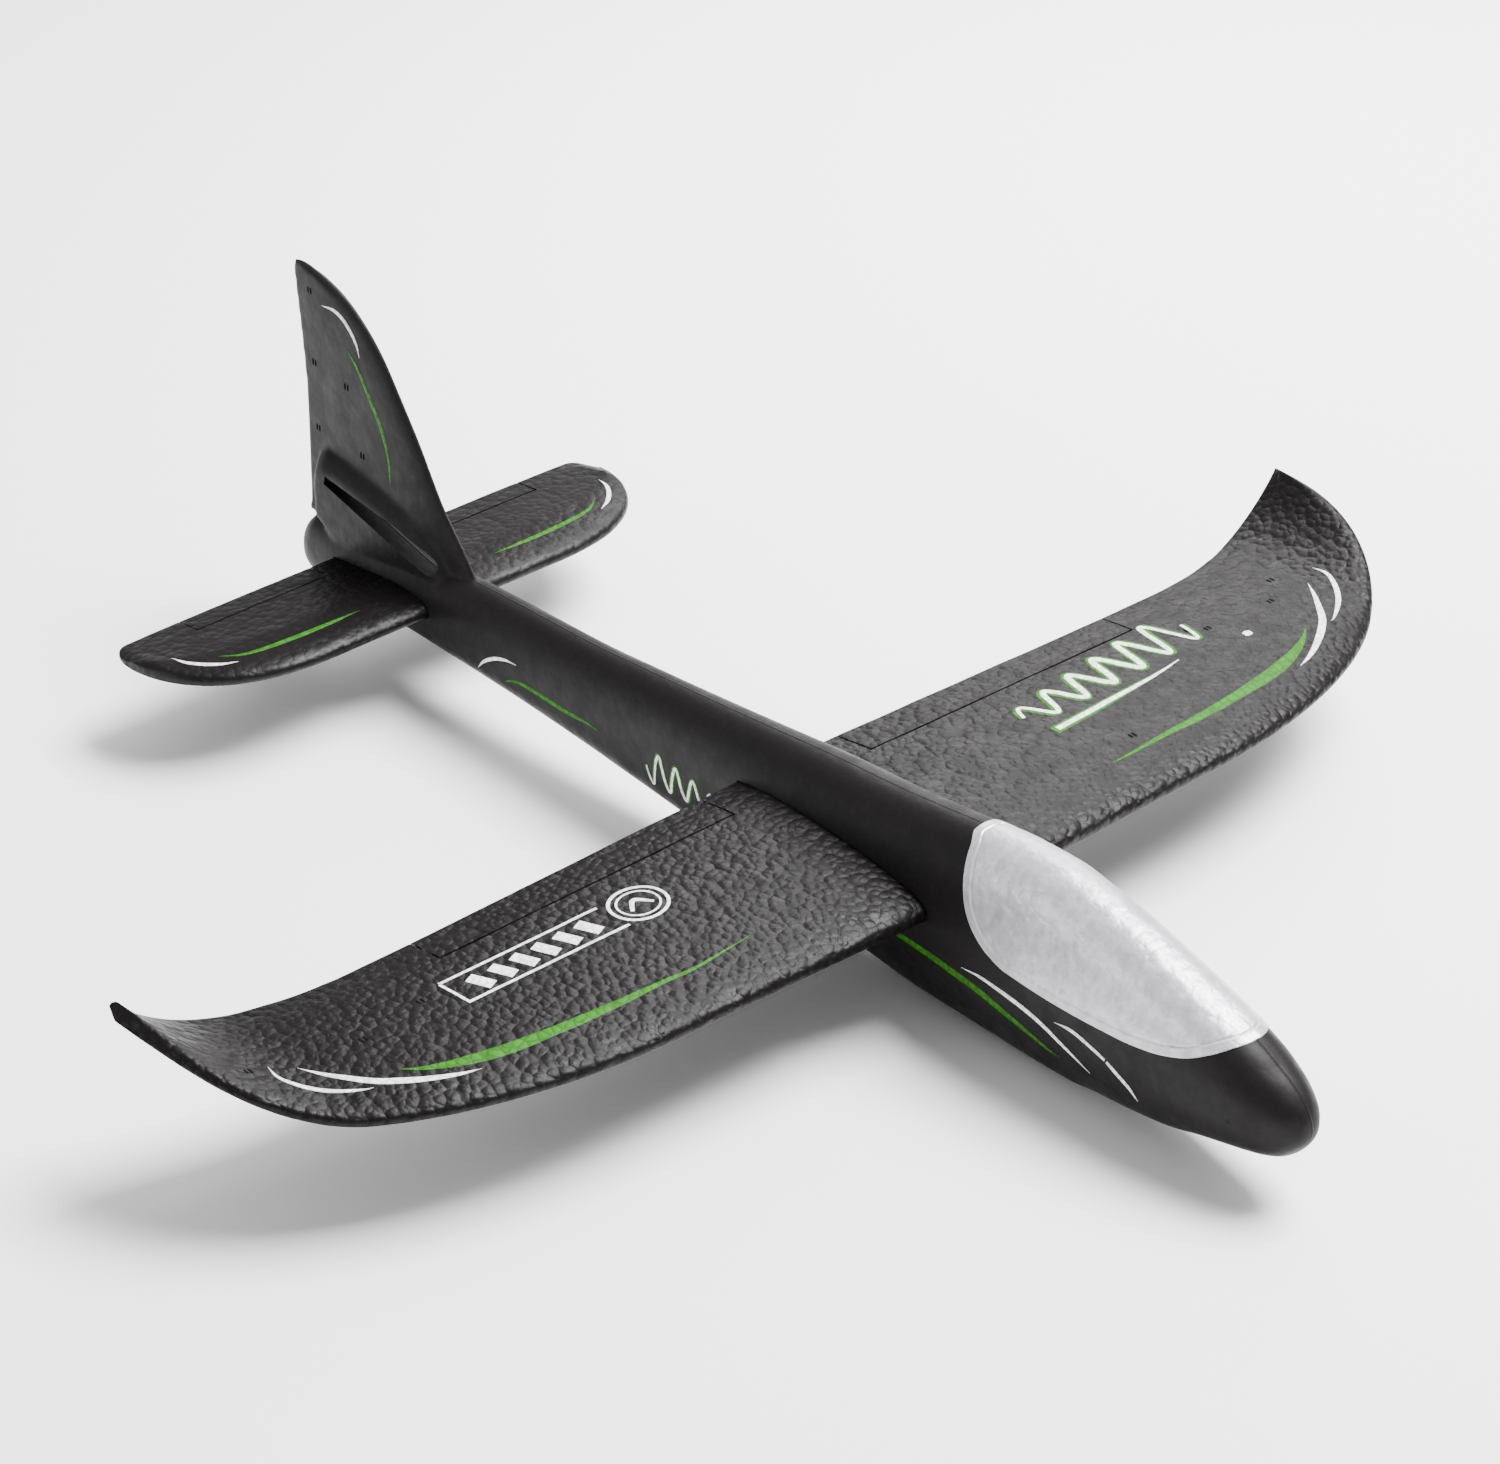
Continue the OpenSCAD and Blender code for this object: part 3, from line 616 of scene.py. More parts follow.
on_tail.part = "tail"


def on_body(side):
    """Takes (y, z) on one side of the fuselage."""
    def place(p, lift):
        s = p[:, 0] - NOSE_Y
        top, low, half = (curve(SECTIONS, s, c) for c in (1, 2, 3))
        across = (p[:, 1] - (top + low) / 2) / ((top - low) / 2)
        q = np.clip(np.abs(across), 0, 0.98)
        x = half * BODY_HALF * (1 - q ** ROUNDNESS) ** (1 / ROUNDNESS)
        a = np.arctan2(power(across, ROUNDNESS / 2), power(x / (half * BODY_HALF), ROUNDNESS / 2))
        out = skin(s, a, lift)
        return out * np.array([side, 1, 1])
    place.part = "body"
    return place


def on_fin(side):
    def place(p, lift):
        return np.stack([side * (fin_half(p[:, 0], p[:, 1]) + lift), p[:, 0], p[:, 1]], -1)
    place.part = "body"
    return place


# How far prints stand off the skin: plain, over another print, under one, and vent marks
LIFT, LIFT_OVER, LIFT_UNDER, LIFT_VENT = 0.09, 0.16, 0.07, 0.05


def smooth_path(points, step):
    """Catmull-Rom through points whose columns are all interpolated, sampled at about step."""
    p = np.asarray(points, float)
    ext = np.vstack([2 * p[0] - p[1], p, 2 * p[-1] - p[-2]])
    out = []
    for i in range(len(p) - 1):
        a, b, c, d = ext[i:i + 4]
        n = max(2, int(np.linalg.norm(c[:2] - b[:2]) / step))
        t = np.linspace(0, 1, n, endpoint=False)[:, None]
        out.append(0.5 * (2 * b + (c - a) * t + (2 * a - 5 * b + 4 * c - d) * t ** 2
                          + (3 * b - a - 3 * c + d) * t ** 3))
    out.append(p[-1:])
    return np.vstack(out)


def lift_shell(points, surface, lift=LIFT, step=0.8):
    """A closed ribbon of print that stands just proud of the skin. points are (u, v, width)."""
    path = smooth_path(points, step)
    t = np.gradient(path[:, :2], axis=0)
    t /= np.maximum(np.linalg.norm(t, axis=1), 1e-9)[:, None]
    n = np.stack([-t[:, 1], t[:, 0]], -1)
    width = np.maximum(path[:, 2], 0.08)
    profile = [(-0.5, -0.12), (-0.5, 0.02), (-0.46, lift), (-0.2, lift), (0, lift), (0.2, lift),
               (0.46, lift), (0.5, 0.02), (0.5, -0.12)]
    rows = []
    for w, up in profile:
        p = path[:, :2] + n * (w * width)[:, None]
        base = surface(p, 0)
        rows.append(base + (surface(p, 1) - base) * (up + waves(base, surface.part))[:, None])
    return loft("print", np.stack(rows, 1), 60)


def stroke(points, widest, ends=(0, 0), power_=0.7):
    """Gives a path of (u, v) a width that tapers towards both ends."""
    p = np.asarray(points, float)
    d = np.concatenate([[0], np.cumsum(np.linalg.norm(np.diff(p, axis=0), axis=1))])
    t = d / d[-1]
    shape = np.sin(math.pi * t) ** power_
    edge = ends[0] + (ends[1] - ends[0]) * t
    return np.column_stack([p, edge + (widest - edge) * shape])


def mirror_x(pts):
    out = np.array(pts, float)
    out[:, 0] *= -1
    return out


# ---- Printed marks: wing and tail marks are (x, y), fuselage and fin marks are (y, z)
WING_WHITE = [stroke([(215.5, -29), (216.3, -34.5), (214.3, -39.7), (210.5, -45), (206, -49), (200, -53),
                      (197.5, -54)], 1.8),
              stroke([(208.5, -33.5), (205, -39.6), (201, -45.2), (195.5, -52), (188.2, -57.7),
                      (181, -62.1), (175, -65), (169, -67)], 2.5)]
WING_GREEN = np.array([
    (187, -52.5, 0.2), (181.5, -56.5, 1.7), (173.8, -60.2, 3.2), (166.4, -62.7, 4.4), (158, -64.8, 4.6),
    (150, -66, 4.4), (143, -66.8, 3.9), (133, -67.8, 3.7), (118, -68.8, 2.9), (104, -69.2, 1.9),
    (88, -70.2, 1), (80, -70.5, 0.2)])
BODY_GREEN = [stroke([(-70, 26.2), (-81.9, 25.6), (-90.6, 25.1), (-99.2, 24.2), (-110, 23.2), (-120.4, 21.1),
                      (-130.6, 18.6), (-138.6, 16.5), (-144.5, 15.6)], 2.7, (1.8, 0))]
BODY_WHITE = [stroke([(-104.2, 28), (-112.4, 28.7), (-121, 28.1), (-129.3, 27.1), (-137.6, 25.2),
                      (-145.6, 22.1), (-151.4, 19.6), (-156.9, 16.8)], 1.7),
              stroke([(-143.4, 28.7), (-150, 29.3), (-156.1, 28.2), (-163.8, 25.8)], 1.3, (0, 1.1)),
              stroke([(-164.5, 25.4), (-167.8, 23.4), (-172.6, 20.3), (-175.6, 16.4)], 1.5, (1.2, 0))]
BOOM_WHITE = [stroke([(129.5, 23.8), (125, 28.5), (119.5, 32), (113.9, 33.9), (108.3, 34.5)], 1.3)]
BOOM_GREEN = [stroke([(116.4, 24.5), (110.4, 27.5), (104.2, 28.5), (96.5, 28.6), (89, 28.4),
                      (81.3, 28.6), (73.7, 29.2), (66.1, 29)], 1.8)]
FIN_WHITE = [stroke([(214.2, 120.6), (207.7, 121.3), (203, 119.9), (198.9, 116.8), (195.9, 113.2),
                     (194.4, 109.1)], 1.5)]
FIN_GREEN = [stroke([(202.2, 110.8), (196.1, 105.5), (191.1, 98.8), (187.1, 93), (183.2, 86.6),
                     (180.3, 78.1), (179.6, 71.1), (179.2, 67.5)], 1.9)]
TAIL_WHITE = [stroke([(90.4, 184), (89, 178.2), (85.4, 173), (81.5, 169.4), (76.6, 166.6)], 1.6)]
TAIL_GREEN = [stroke([(79.5, 173.5), (74, 169.3), (66.8, 167.1), (58, 166), (49, 165.5), (40, 165.4),
                      (28, 165.5)], 2.1)]
WING_VENTS = [(-222.6, -29.4), (190.5, -33.6), (162, -32.7), (96.3, -63.3), (200.8, -24), (156.2, -29.3),
              (-162, -31), (-186, -35), (165, -62.9), (121.5, -68.3)]
FIN_VENTS = [(220.7, 123.5), (219.7, 97.5), (201.8, 95.6), (218.8, 73.7), (194.3, 73.2)]


def vents(places, surface, size=2.2):
    shells = []
    for u, v in places:
        for du in (-0.75, 0.75):
            shells.append(lift_shell([(u + du, v - size / 2, 0.7), (u + du, v, 0.9),
                                      (u + du, v + size / 2, 0.7)], surface, LIFT_VENT, 0.5))
    return shells


def badge(surface):
    """A generic mark: a rounded frame with slanted bars, and a ring with a chevron."""
    lines = []
    w = 1.0
    for a, b in (((-93.2, -28.4), (-152.5, -27.7)), ((-152.6, -28.2), (-151.6, -40.4)),
                 ((-152.0, -40.6), (-91.6, -41.5))):
        m = ((a[0] + b[0]) / 2, (a[1] + b[1]) / 2)
        lines.append([(*a, w), (*m, w), (*b, w)])
    for i in range(6):
        x = -101.5 - 8.2 * i
        lines.append([(x + 1.6, -38.6, 4.2), (x, -34.8, 4.2), (x - 1.6, -31.0, 4.2)])
    t = np.linspace(0, 2 * math.pi, 33)
    for r, wide in ((8.4, 1.1), (6.2, 0.7)):
        lines.append(np.column_stack([-82.4 + 1.12 * r * np.cos(t), -34.8 + r * np.sin(t),
                                      np.full(len(t), wide)]))
    lines.append([(-86.6, -37.0, 1.2), (-82.4, -32.6, 1.6), (-78.2, -37.0, 1.2)])
    return [lift_shell(p, surface, LIFT, 0.6) for p in lines]


def flourish(surface, start, end, height, wide, lift, turns):
    """A wavy ribbon that grows along its run and fades at both ends."""
    t = np.linspace(0, 1, 24 * turns)
    a, b = np.array(start), np.array(end)
    along = (b - a) / np.linalg.norm(b - a)
    up = np.array([-along[1], along[0]])
    wave = height * np.sin(2 * math.pi * turns * t) * (0.5 + 0.5 * t)
    p = a + (b - a) * t[:, None] + up * wave[:, None]
    width = wide * np.sin(math.pi * (0.04 + 0.92 * t)) ** 0.35
    return lift_shell(np.column_stack([p, width]), surface, lift, 0.6)


# ---- Canopy film
# Film faces from the skin; then the embossed line: distances in from the edge, depths and dash
FILM_OUT, FILM_IN = 0.35, -0.55
GROOVE_IN, RIDGE_IN, LINE_WIDTH = 3.3, 2.5, 0.4
GROOVE_DEPTH, RIDGE_HEIGHT, DASH = 0.28, 0.1, 3.2


def make_canopy():
    rows, cols = (300, 190) if FINE else (90, 50)
    probe = np.linspace(CANOPY_EDGE[0, 0], 40, 400)
    top, low = curve(SECTIONS, probe, 1), curve(SECTIONS, probe, 2)
    share = (curve(CANOPY_EDGE, probe) - (top + low) / 2) / ((top - low) / 2)
    front, rear = probe[np.argmax(share < 0.998)], CANOPY_EDGE[-1, 0]
    u = np.linspace(0, 1, rows)
    s = front + (rear - front) * (0.5 - 0.5 * np.cos(math.pi * u))
    top, low = curve(SECTIONS, s, 1), curve(SECTIONS, s, 2)
    share = np.clip((curve(CANOPY_EDGE, s) - (top + low) / 2) / ((top - low) / 2), 0.001, 0.998)
    a0 = np.arcsin(share ** (ROUNDNESS / 2))
    a = a0[:, None] + (math.pi - 2 * a0[:, None]) * np.linspace(0, 1, cols)[None, :]
    outer = np.array([skin(sv, av, FILM_OUT) for sv, av in zip(s, a)])
    inner = np.array([skin(sv, av, FILM_IN) for sv, av in zip(s, a)])
    normal = outer - inner
    normal /= np.linalg.norm(normal, axis=2)[:, :, None]
    edge = np.concatenate([outer[:, 0], outer[:, -1], outer[0], outer[-1]])
    flat = outer.reshape(-1, 3)
    gap = np.full(len(flat), 1e9)
    for i in range(0, len(edge), 60):
        d = np.linalg.norm(flat[:, None, :] - edge[None, i:i + 60, :], axis=2)
        gap = np.minimum(gap, d.min(1))
    gap = gap.reshape(outer.shape[:2])
    groove = np.exp(-((gap - GROOVE_IN) / LINE_WIDTH) ** 2)
    dash = 0.6 + 0.4 * (np.sin(outer[..., 1] * 2 * math.pi / DASH) > -0.2)
    crinkle = 0.07 * noise3(outer, 9.0, 3) + 0.05 * noise3(outer, 2.6, 4)
    fade = np.clip(gap / 2.0, 0, 1)
    ridge = np.exp(-((gap - RIDGE_IN) / LINE_WIDTH) ** 2)
    relief = RIDGE_HEIGHT * ridge - GROOVE_DEPTH * groove * dash + crinkle * fade
    outer += normal * relief[:, :, None]
    rim = inner + (outer - inner) * 0.7
    rings = [np.concatenate([rim[i, :1], outer[i], rim[i, -1:], inner[i][::-1]]) for i in range(rows)]
    return loft("canopy", rings, 50)


def undulate(obj, part):
    """Slow unevenness of moulded foam, along the normals."""
    mesh = obj.data
    n = len(mesh.vertices)
    co, no = np.zeros(n * 3), np.zeros(n * 3)
    mesh.vertices.foreach_get("co", co)
    mesh.vertex_normals.foreach_get("vector", no)
    co, no = co.reshape(-1, 3), no.reshape(-1, 3)
    co += no * waves(co / MM, part)[:, None] * MM
    mesh.vertices.foreach_set("co", co.ravel())
    mesh.update()


WEB_HALF = 0.5


def hinge_web(name, side, x0, x1, y, z_of):
    """The foam left under a crease: a fixed strip along the hinge, where on the glider the foam bends as the
    flap swings.
    """
    rings = []
    for x in spaced(x0, x1, 3.0):
        z = z_of(x)
        rings.append([[side * x, y + w, z + h] for w, h in
                      [(-WEB_HALF, 0.02), (-0.25, 0.04), (0, 0.03), (0.25, 0.04), (WEB_HALF, 0.02),
                       (WEB_HALF, -0.4), (0.25, -0.45), (0, -0.45), (-0.25, -0.45), (-WEB_HALF, -0.4)]])
    return loft(name, rings, 60)


# ---- Materials
def node_tree(name):
    mat = bpy.data.materials.new(name)
    mat.use_nodes = True
    tree = mat.node_tree
    tree.nodes.clear()
    out = tree.nodes.new("ShaderNodeOutputMaterial")
    bsdf = tree.nodes.new("ShaderNodeBsdfPrincipled")
    tree.links.new(bsdf.outputs["BSDF"], out.inputs["Surface"])
    return mat, tree, bsdf


def math_node(tree, op, a, b=None, clamp=False):
    n = tree.nodes.new("ShaderNodeMath")
    n.operation, n.use_clamp = op, clamp
    for k, v in enumerate((a, b)):
        if v is None:
            continue
        if isinstance(v, (int, float)):
            n.inputs[k].default_value = v
        else:
            tree.links.new(v, n.inputs[k])
    return n.outputs[0]


def ramp(tree, value, lo, hi, a=0.0, b=1.0):
    n = tree.nodes.new("ShaderNodeMapRange")
    n.interpolation_type = "SMOOTHSTEP"
    n.inputs["From Min"].default_value, n.inputs["From Max"].default_value = lo, hi
    n.inputs["To Min"].default_value, n.inputs["To Max"].default_value = a, b
    tree.links.new(value, n.inputs["Value"])
    return n.outputs["Result"]


def voronoi(tree, vector, scale, feature="F1", randomness=1.0):
    n = tree.nodes.new("ShaderNodeTexVoronoi")
    n.feature = feature
    n.inputs["Scale"].default_value = scale
    n.inputs["Randomness"].default_value = randomness
    tree.links.new(vector, n.inputs["Vector"])
    return n


def noise(tree, vector, scale, detail=3.0):
    n = tree.nodes.new("ShaderNodeTexNoise")
    n.inputs["Scale"].default_value = scale
    n.inputs["Detail"].default_value = detail
    tree.links.new(vector, n.inputs["Vector"])
    return n.outputs["Fac"]


def mix_colour(tree, fac, a, b):
    n = tree.nodes.new("ShaderNodeMix")
    n.data_type = "RGBA"
    tree.links.new(fac, n.inputs["Factor"])
    for sock, v in ((n.inputs[6], a), (n.inputs[7], b)):
        if isinstance(v, tuple):
            sock.default_value = (*v, 1)
        else:
            tree.links.new(v, sock)
    return n.outputs[2]


def bead_relief(tree, cell, pits, relief):
    """Bead cells with creases, pin pits and a fine grain: coordinates, height, crease, pit, slow noise."""
    coord = tree.nodes.new("ShaderNodeTexCoord").outputs["Object"]
    wobble = tree.nodes.new("ShaderNodeTexNoise")
    wobble.inputs["Scale"].default_value, wobble.inputs["Detail"].default_value = 180, 2
    tree.links.new(coord, wobble.inputs["Vector"])
    shift = tree.nodes.new("ShaderNodeVectorMath")
    shift.operation = "MULTIPLY_ADD"
    shift.inputs[1].default_value = (0.0016,) * 3
    tree.links.new(wobble.outputs["Color"], shift.inputs[0])
    tree.links.new(coord, shift.inputs[2])
    vec = shift.outputs[0]
    edge = voronoi(tree, vec, 1 / cell, "DISTANCE_TO_EDGE").outputs["Distance"]
    crease = ramp(tree, edge, 0.0, 0.2, 1.0, 0.0)
    bead = voronoi(tree, vec, 1 / cell, "SMOOTH_F1")
    bead.inputs["Smoothness"].default_value = 0.5
    dome = math_node(tree, "POWER", bead.outputs["Distance"], 1.6)
    fine = voronoi(tree, vec, 2.3 / cell, "SMOOTH_F1")
    fine.inputs["Smoothness"].default_value = 0.5
    dots = voronoi(tree, coord, 0.55 / cell)
    pick = ramp(tree, dots.outputs["Color"], 1 - pits, 1 - pits + 0.1)
    pit = math_node(tree, "MULTIPLY", ramp(tree, dots.outputs["Distance"], 0.05, 0.11, 1.0, 0.0), pick)
    grain = noise(tree, coord, 2600, 2)
    slow = noise(tree, coord, 140, 3)
    height = math_node(tree, "MULTIPLY", dome, -3.2 * relief)
    for part, amount in ((crease, -0.2 * relief), (fine.outputs["Distance"], -0.5 * relief), (pit, -1.2),
                         (grain, 0.3), (slow, 1.3 * relief)):
        height = math_node(tree, "ADD", height, math_node(tree, "MULTIPLY", part, amount))
    return coord, height, crease, pit, slow


def add_bump(tree, bsdf, height, strength, distance):
    bump = tree.nodes.new("ShaderNodeBump")
    bump.inputs["Strength"].default_value = strength
    bump.inputs["Distance"].default_value = distance
    tree.links.new(height, bump.inputs["Height"])
    tree.links.new(bump.outputs["Normal"], bsdf.inputs["Normal"])


def foam(name, colour, shade_tone, cell=0.0029, pits=0.3, relief=1.0, rough=(0.34, 0.48), depth=0.00016,
         specular=0.32, seam=False):
    mat, tree, bsdf = node_tree(name)
    coord, height, crease, pit, slow = bead_relief(tree, cell, pits, relief)
    base = mix_colour(tree, ramp(tree, slow, 0.3, 0.7), colour, tuple(0.78 * c for c in colour))
    # Painted shade: the bead creases and the pin pits are mixed towards the shade tone, which stands in for
    # the shade that falls in them.
    base = mix_colour(tree, math_node(tree, "MULTIPLY", crease, 0.2), base, shade_tone)
    base = mix_colour(tree, pit, base, tuple(0.25 * c for c in shade_tone))
    tree.links.new(base, bsdf.inputs["Base Color"])
    tree.links.new(ramp(tree, slow, 0.25, 0.75, rough[0], rough[1]), bsdf.inputs["Roughness"])
    bsdf.inputs["Specular IOR Level"].default_value = specular
    if seam:
        split = tree.nodes.new("ShaderNodeSeparateXYZ")
        tree.links.new(coord, split.inputs[0])
        off = math_node(tree, "ABSOLUTE", split.outputs["X"])
        line = ramp(tree, off, 0.0, 0.0005, 1.0, 0.0)
        height = math_node(tree, "ADD", height, math_node(tree, "MULTIPLY", line, 1.4))
    add_bump(tree, bsdf, height, 1.0, depth)
    return mat


def ink(name, colour, under, cell=0.0029, pits=0.3, rough=0.5, cover=0.85, specular=0.1):
    """Print on the bead skin: it follows the beads and is broken where they are creased."""
    mat, tree, bsdf = node_tree(name)
    coord, height, crease, pit, _ = bead_relief(tree, cell, pits, 1.0)
    speck = ramp(tree, noise(tree, coord, 900, 3), 0.62, 0.7)
    gone = math_node(tree, "MAXIMUM", math_node(tree, "MULTIPLY", crease, 1 - cover + 0.25),
                     math_node(tree, "MAXIMUM", pit, math_node(tree, "MULTIPLY", speck, 0.5)), True)
    # Where the print is gone the under colour shows; it is painted shade, the foam darker than its own tone,
    # as in the shade of creases and pits.
    base = mix_colour(tree, gone, colour, under)
    tree.links.new(base, bsdf.inputs["Base Color"])
    bsdf.inputs["Roughness"].default_value = rough
    bsdf.inputs["Specular IOR Level"].default_value = specular
    add_bump(tree, bsdf, height, 1.0, 0.00013)
    return mat


def foil(name):
    mat, tree, bsdf = node_tree(name)
    coord, beads = bead_relief(tree, 0.003, 0.1, 1.0)[:2]
    crinkle = noise(tree, coord, 260, 4)
    fine = noise(tree, coord, 1400, 3)
    tone = mix_colour(tree, ramp(tree, crinkle, 0.3, 0.7), (0.42, 0.42, 0.46), (0.54, 0.54, 0.58))
    tree.links.new(tone, bsdf.inputs["Base Color"])
    bsdf.inputs["Metallic"].default_value = 0.4
    tree.links.new(ramp(tree, fine, 0.3, 0.7, 0.3, 0.42), bsdf.inputs["Roughness"])
    height = math_node(tree, "ADD", crinkle, math_node(tree, "MULTIPLY", beads, 0.22))
    add_bump(tree, bsdf, height, 0.8, 0.0003)
    return mat


def steel(name):
    mat, tree, bsdf = node_tree(name)
    coord = tree.nodes.new("ShaderNodeTexCoord").outputs["Object"]
    scratch = noise(tree, coord, 900, 5)
    tone = mix_colour(tree, scratch, (0.35, 0.35, 0.36), (0.5, 0.5, 0.52))
    tree.links.new(tone, bsdf.inputs["Base Color"])
    bsdf.inputs["Metallic"].default_value = 1.0
    tree.links.new(ramp(tree, scratch, 0.3, 0.7, 0.25, 0.45), bsdf.inputs["Roughness"])
    add_bump(tree, bsdf, scratch, 0.3, 0.00005)
    return mat


# The second tone is painted shade: the foam darkened as by the shade in bead creases and pin pits; the prints
# show it where they are broken.
WING_TONE, SHADED_FOAM_TONE = (0.0046, 0.0033, 0.0041), (0.002, 0.0016, 0.0018)
BODY_TONE = (0.0082, 0.0067, 0.0074)
wing_foam = foam("wing_foam", WING_TONE, SHADED_FOAM_TONE, specular=0.12)
# Its grey (0.003, 0.003, 0.003) is painted shade for the fuselage's bead creases and pits.
body_foam = foam("fuselage_foam", BODY_TONE, (0.003, 0.003, 0.003), cell=0.0036, pits=0.25, relief=0.25,
                 rough=(0.4, 0.52), depth=0.0001, specular=0.11, seam=True)
tail_foam = foam("tail_foam", WING_TONE, SHADED_FOAM_TONE, cell=0.0029, relief=0.5, specular=0.15)
green_ink = ink("green_print", (0.022, 0.145, 0.004), SHADED_FOAM_TONE)
white_ink = ink("white_print", (0.9, 0.9, 0.92), SHADED_FOAM_TONE)
vent_ink = ink("vent_mark", (0.0035, 0.003, 0.0033), (0.002, 0.002, 0.002), rough=0.9, specular=0.03)
canopy_foil = foil("canopy_foil")
ballast_steel = steel("ballast_steel")

# ---- Pieces


def place_piece(obj, material, body, node=None):
    obj.data.materials.clear()
    obj.data.materials.append(material)
    if node:
        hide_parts(node)
    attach(obj, body)


wing = make_wing()
undulate(wing, "wing")
place_piece(wing, wing_foam, "airframe", "wing")
for side, tag in ((1, "left"), (-1, "right")):
    flap = make_aileron(side, "aileron_skin_" + tag)
    undulate(flap, "wing")
    place_piece(flap, wing_foam, "aileron_" + tag, "aileron_" + tag)
tail = make_tailplane()
undulate(tail, "tail")
place_piece(tail, tail_foam, "tailplane", "tailplane")
for side, tag in ((1, "left"), (-1, "right")):
    flap = make_elevator(side, "elevator_skin_" + tag)
    undulate(flap, "tail")
    place_piece(flap, tail_foam, "elevator_" + tag, "elevator_" + tag)
fuselage = make_fuselage()
undulate(fuselage, "body")
place_piece(fuselage, body_foam, "airframe", "fuselage")
canopy = make_canopy()
undulate(canopy, "body")
place_piece(canopy, canopy_foil, "airframe", "canopy_film")
weight = frame["nodes"]["nose_weight"]
weight.data.materials.clear()
weight.data.materials.append(ballast_steel)

WEBS = [("aileron", AILERON_START, AILERON_END, HINGE_Y, aileron_hinge_z, wing_foam, "wing_foam", "airframe"),
        ("elevator", ELEVATOR_START, ELEVATOR_END, ELEVATOR_Y, lambda x: ELEVATOR_Z, tail_foam, "tail_foam",
         "tailplane")]
for side, tag in ((1, "left"), (-1, "right")):
    for flap, x0, x1, y, z_of, material, slot, root in WEBS:
        web = hinge_web(flap + "_web_" + tag, side, x0 + SLIT, x1 - SLIT, y, z_of)
        web.data.materials.append(material)
        mid, z = side * (x0 + x1) / 2 * MM, z_of((x0 + x1) / 2) * MM
        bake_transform(web)


def print_piece(name, shells, material, body):
    piece = join(name, shells)
    piece.data.materials.append(material)
    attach(piece, body)


def both(paths, surface):
    """Each mark, then each again on the other side of the centre line."""
    return [lift_shell(p, surface) for p in paths] + [lift_shell(mirror_x(p), surface) for p in paths]


near_green = np.vstack([mirror_x(WING_GREEN)[:-2],
                        [(-92, -70, 1.3), (-80, -69.3, 0.8), (-68, -68.4, 0.2)]])
WAVE_TURNS, WAVE_HEIGHT = 6, 9.5
print_piece("wing_print_white", both(WING_WHITE, on_wing)
            + [lift_shell([(168, -43.2, 2), (169.5, -43.2, 3), (171, -43.2, 2)], on_wing)]
            + badge(on_wing)
            + [flourish(on_wing, (77, -35), (157, -25.5), WAVE_HEIGHT, 2.4, LIFT_OVER, WAVE_TURNS),
               lift_shell([(80.5, -46.2, 2.2), (104, -44.6, 2.0), (126, -43, 1.2), (140, -41, 0.4)],
                          on_wing, LIFT_OVER)],
            white_ink, "airframe")
print_piece("wing_print_green", [lift_shell(WING_GREEN, on_wing), lift_shell(near_green, on_wing),
                                 flourish(on_wing, (76.3, -35), (157.7, -25.5), WAVE_HEIGHT, 4.2,
                                          LIFT_UNDER, WAVE_TURNS),
                                 lift_shell([(79, -46.3, 4.2), (104, -44.6, 3.6), (134, -42, 1.2)],
                                            on_wing, LIFT_UNDER)],
            green_ink, "airframe")
print_piece("wing_vents", vents(WING_VENTS, on_wing), vent_ink, "airframe")
body_white, body_green, fin_marks = [], [], []
for side in (-1, 1):
    skin_side, fin_side = on_body(side), on_fin(side)
    body_white += [lift_shell(p, skin_side) for p in BODY_WHITE + BOOM_WHITE]
    body_white += [lift_shell(p, fin_side) for p in FIN_WHITE]
    body_white += [flourish(skin_side, (9, 29), (43, 28), 6.5, 1.2, LIFT_OVER, 4)]
    body_green += [lift_shell(p, skin_side) for p in BODY_GREEN + BOOM_GREEN]
    body_green += [lift_shell(p, fin_side) for p in FIN_GREEN]
    body_green += [flourish(skin_side, (8.6, 29), (43.4, 28), 6.5, 2.4, LIFT_UNDER, 4)]
    fin_marks += vents(FIN_VENTS, fin_side)
print_piece("fuselage_print_white", body_white, white_ink, "airframe")
print_piece("fuselage_print_green", body_green, green_ink, "airframe")
print_piece("fin_vents", fin_marks, vent_ink, "airframe")
print_piece("tail_print_white", both(TAIL_WHITE, on_tail), white_ink, "tailplane")
print_piece("tail_print_green", both(TAIL_GREEN, on_tail), green_ink, "tailplane")

# ---- Stage, light and camera


FLOOR_RADIUS = 12.0      # metres
CAMERA_AT = (-0.94839, -1.03267, 0.90801)
AZIMUTH, ELEVATION, ROLL = -42.3607, 31.3139, 0.5251
LENS, SENSOR = 128.41, 36


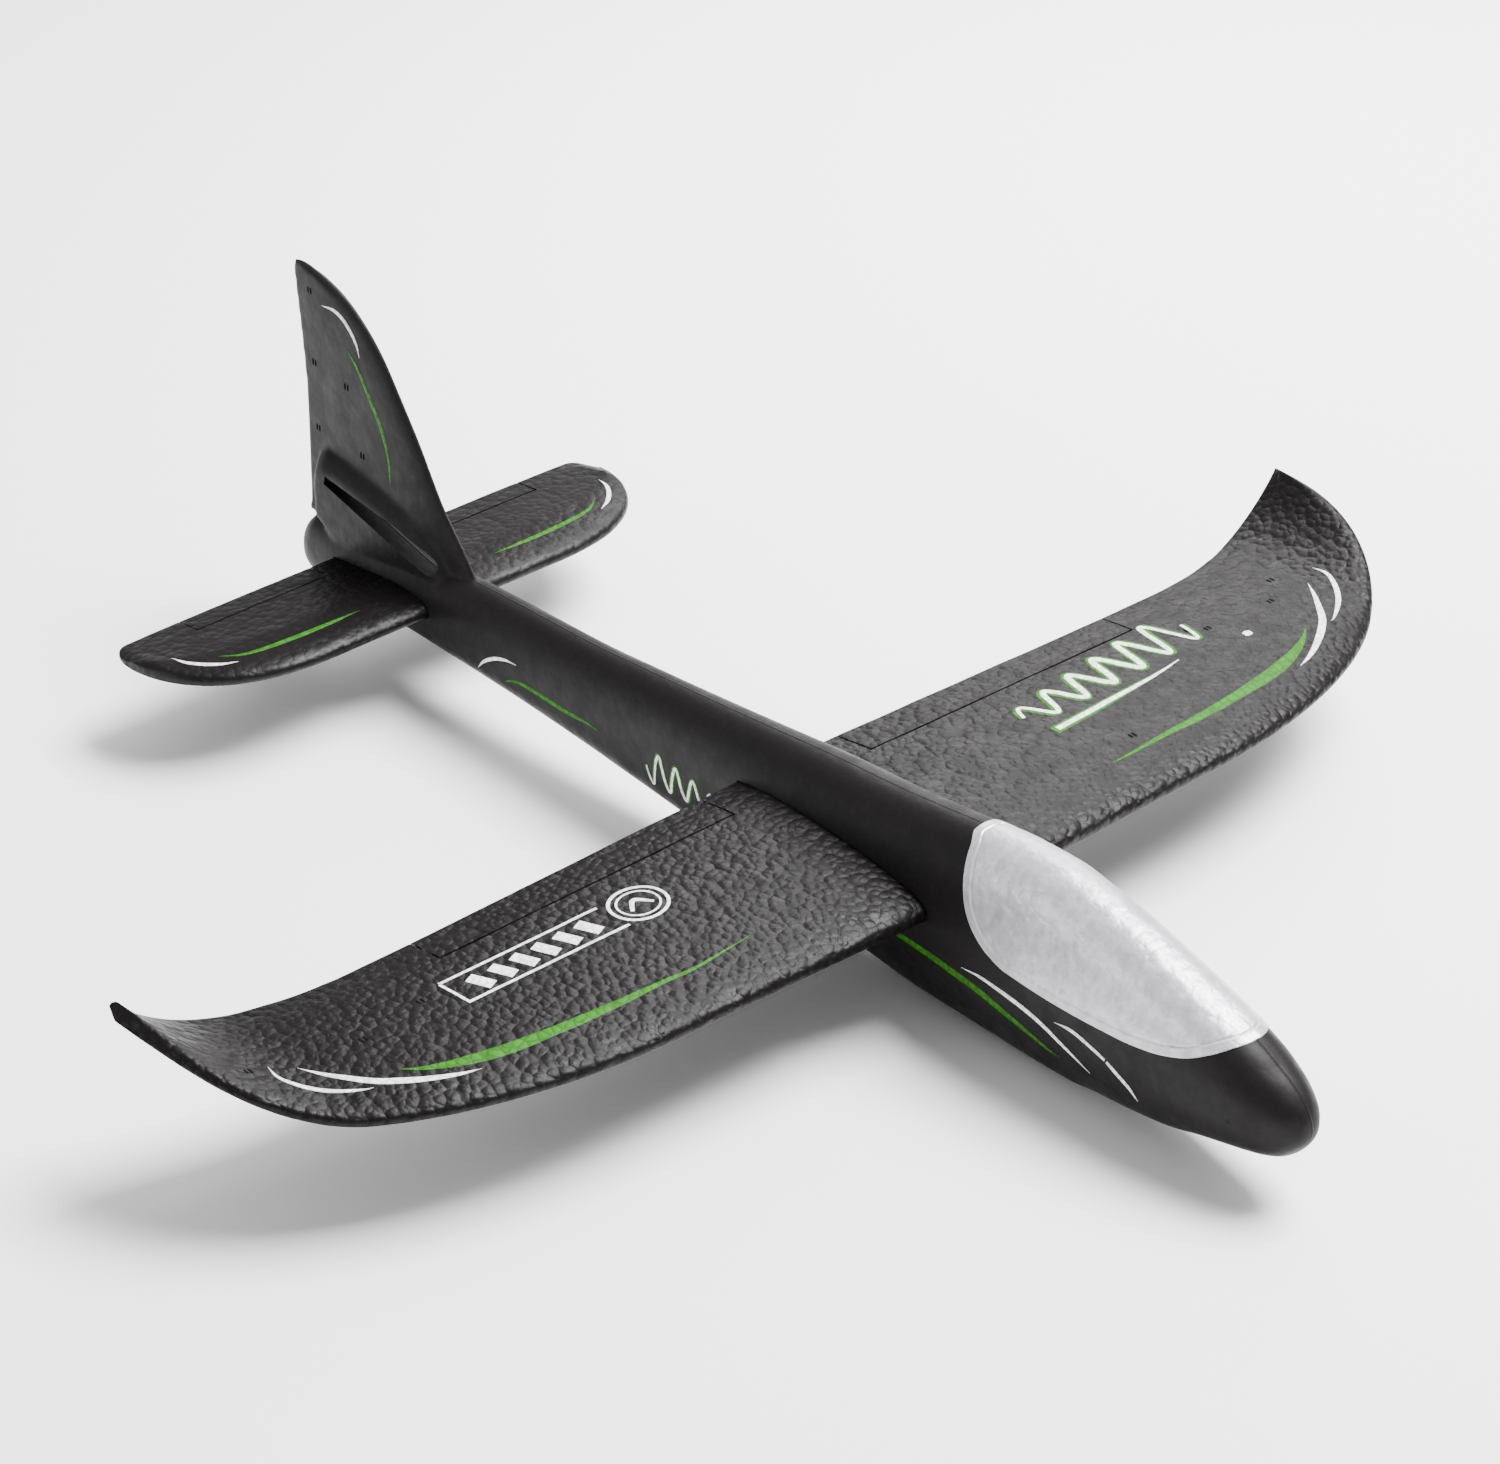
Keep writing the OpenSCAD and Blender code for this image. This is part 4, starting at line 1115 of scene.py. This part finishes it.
def make_floor():
    bm = bmesh.new()
    bmesh.ops.create_circle(bm, cap_ends=True, segments=96, radius=FLOOR_RADIUS)
    mesh = bpy.data.meshes.new("floor")
    bm.to_mesh(mesh)
    bm.free()
    obj = link("floor", mesh)
    mat, tree, bsdf = node_tree("floor")
    bsdf.inputs["Base Color"].default_value = (0.93, 0.93, 0.93, 1)
    bsdf.inputs["Roughness"].default_value = 0.9
    obj.data.materials.append(mat)


def area_light(name, place, target, size, power_):
    data = bpy.data.lights.new(name, "AREA")
    data.shape, data.size, data.size_y, data.energy = "RECTANGLE", size[0], size[1], power_
    obj = bpy.data.objects.new(name, data)
    bpy.context.scene.collection.objects.link(obj)
    obj.location = place
    obj.rotation_euler = (Vector(target) - Vector(place)).to_track_quat("-Z", "Y").to_euler()


make_floor()
area_light("top_box", (0.75, -0.3, 1.55), (0, 0, 0), (1.1, 0.9), 135)
area_light("side_box", (-1.5, 0.55, 0.55), (0, 0.05, 0.05), (1.0, 0.6), 8)
area_light("edge_box", (0.5, 0.3, 0.8), (-0.12, -0.08, 0.04), (0.4, 0.22), 3)
area_light("back_box", (0.62, 0.4, 0.42), (0.13, -0.05, 0.04), (0.45, 0.3), 3.8)
world = bpy.data.worlds.new("studio")
bpy.context.scene.world = world
world.use_nodes = True
world.node_tree.nodes["Background"].inputs["Color"].default_value = (1, 1, 1, 1)
world.node_tree.nodes["Background"].inputs["Strength"].default_value = 0.6

camera_data = bpy.data.cameras.new("camera")
camera_data.lens, camera_data.sensor_width, camera_data.clip_start = LENS, SENSOR, 0.01
camera = bpy.data.objects.new("camera", camera_data)
bpy.context.scene.collection.objects.link(camera)
az, el, roll = (math.radians(v) for v in (AZIMUTH, ELEVATION, ROLL))
back = Vector((math.sin(az) * math.cos(el), -math.cos(az) * math.cos(el), math.sin(el)))
right = Vector((math.cos(az), math.sin(az), 0))
up = back.cross(right)
right, up = right * math.cos(roll) + up * math.sin(roll), up * math.cos(roll) - right * math.sin(roll)
rotation = Matrix((right, up, back)).transposed().to_4x4()
camera.matrix_world = Matrix.Translation(CAMERA_AT) @ rotation
bpy.context.scene.camera = camera
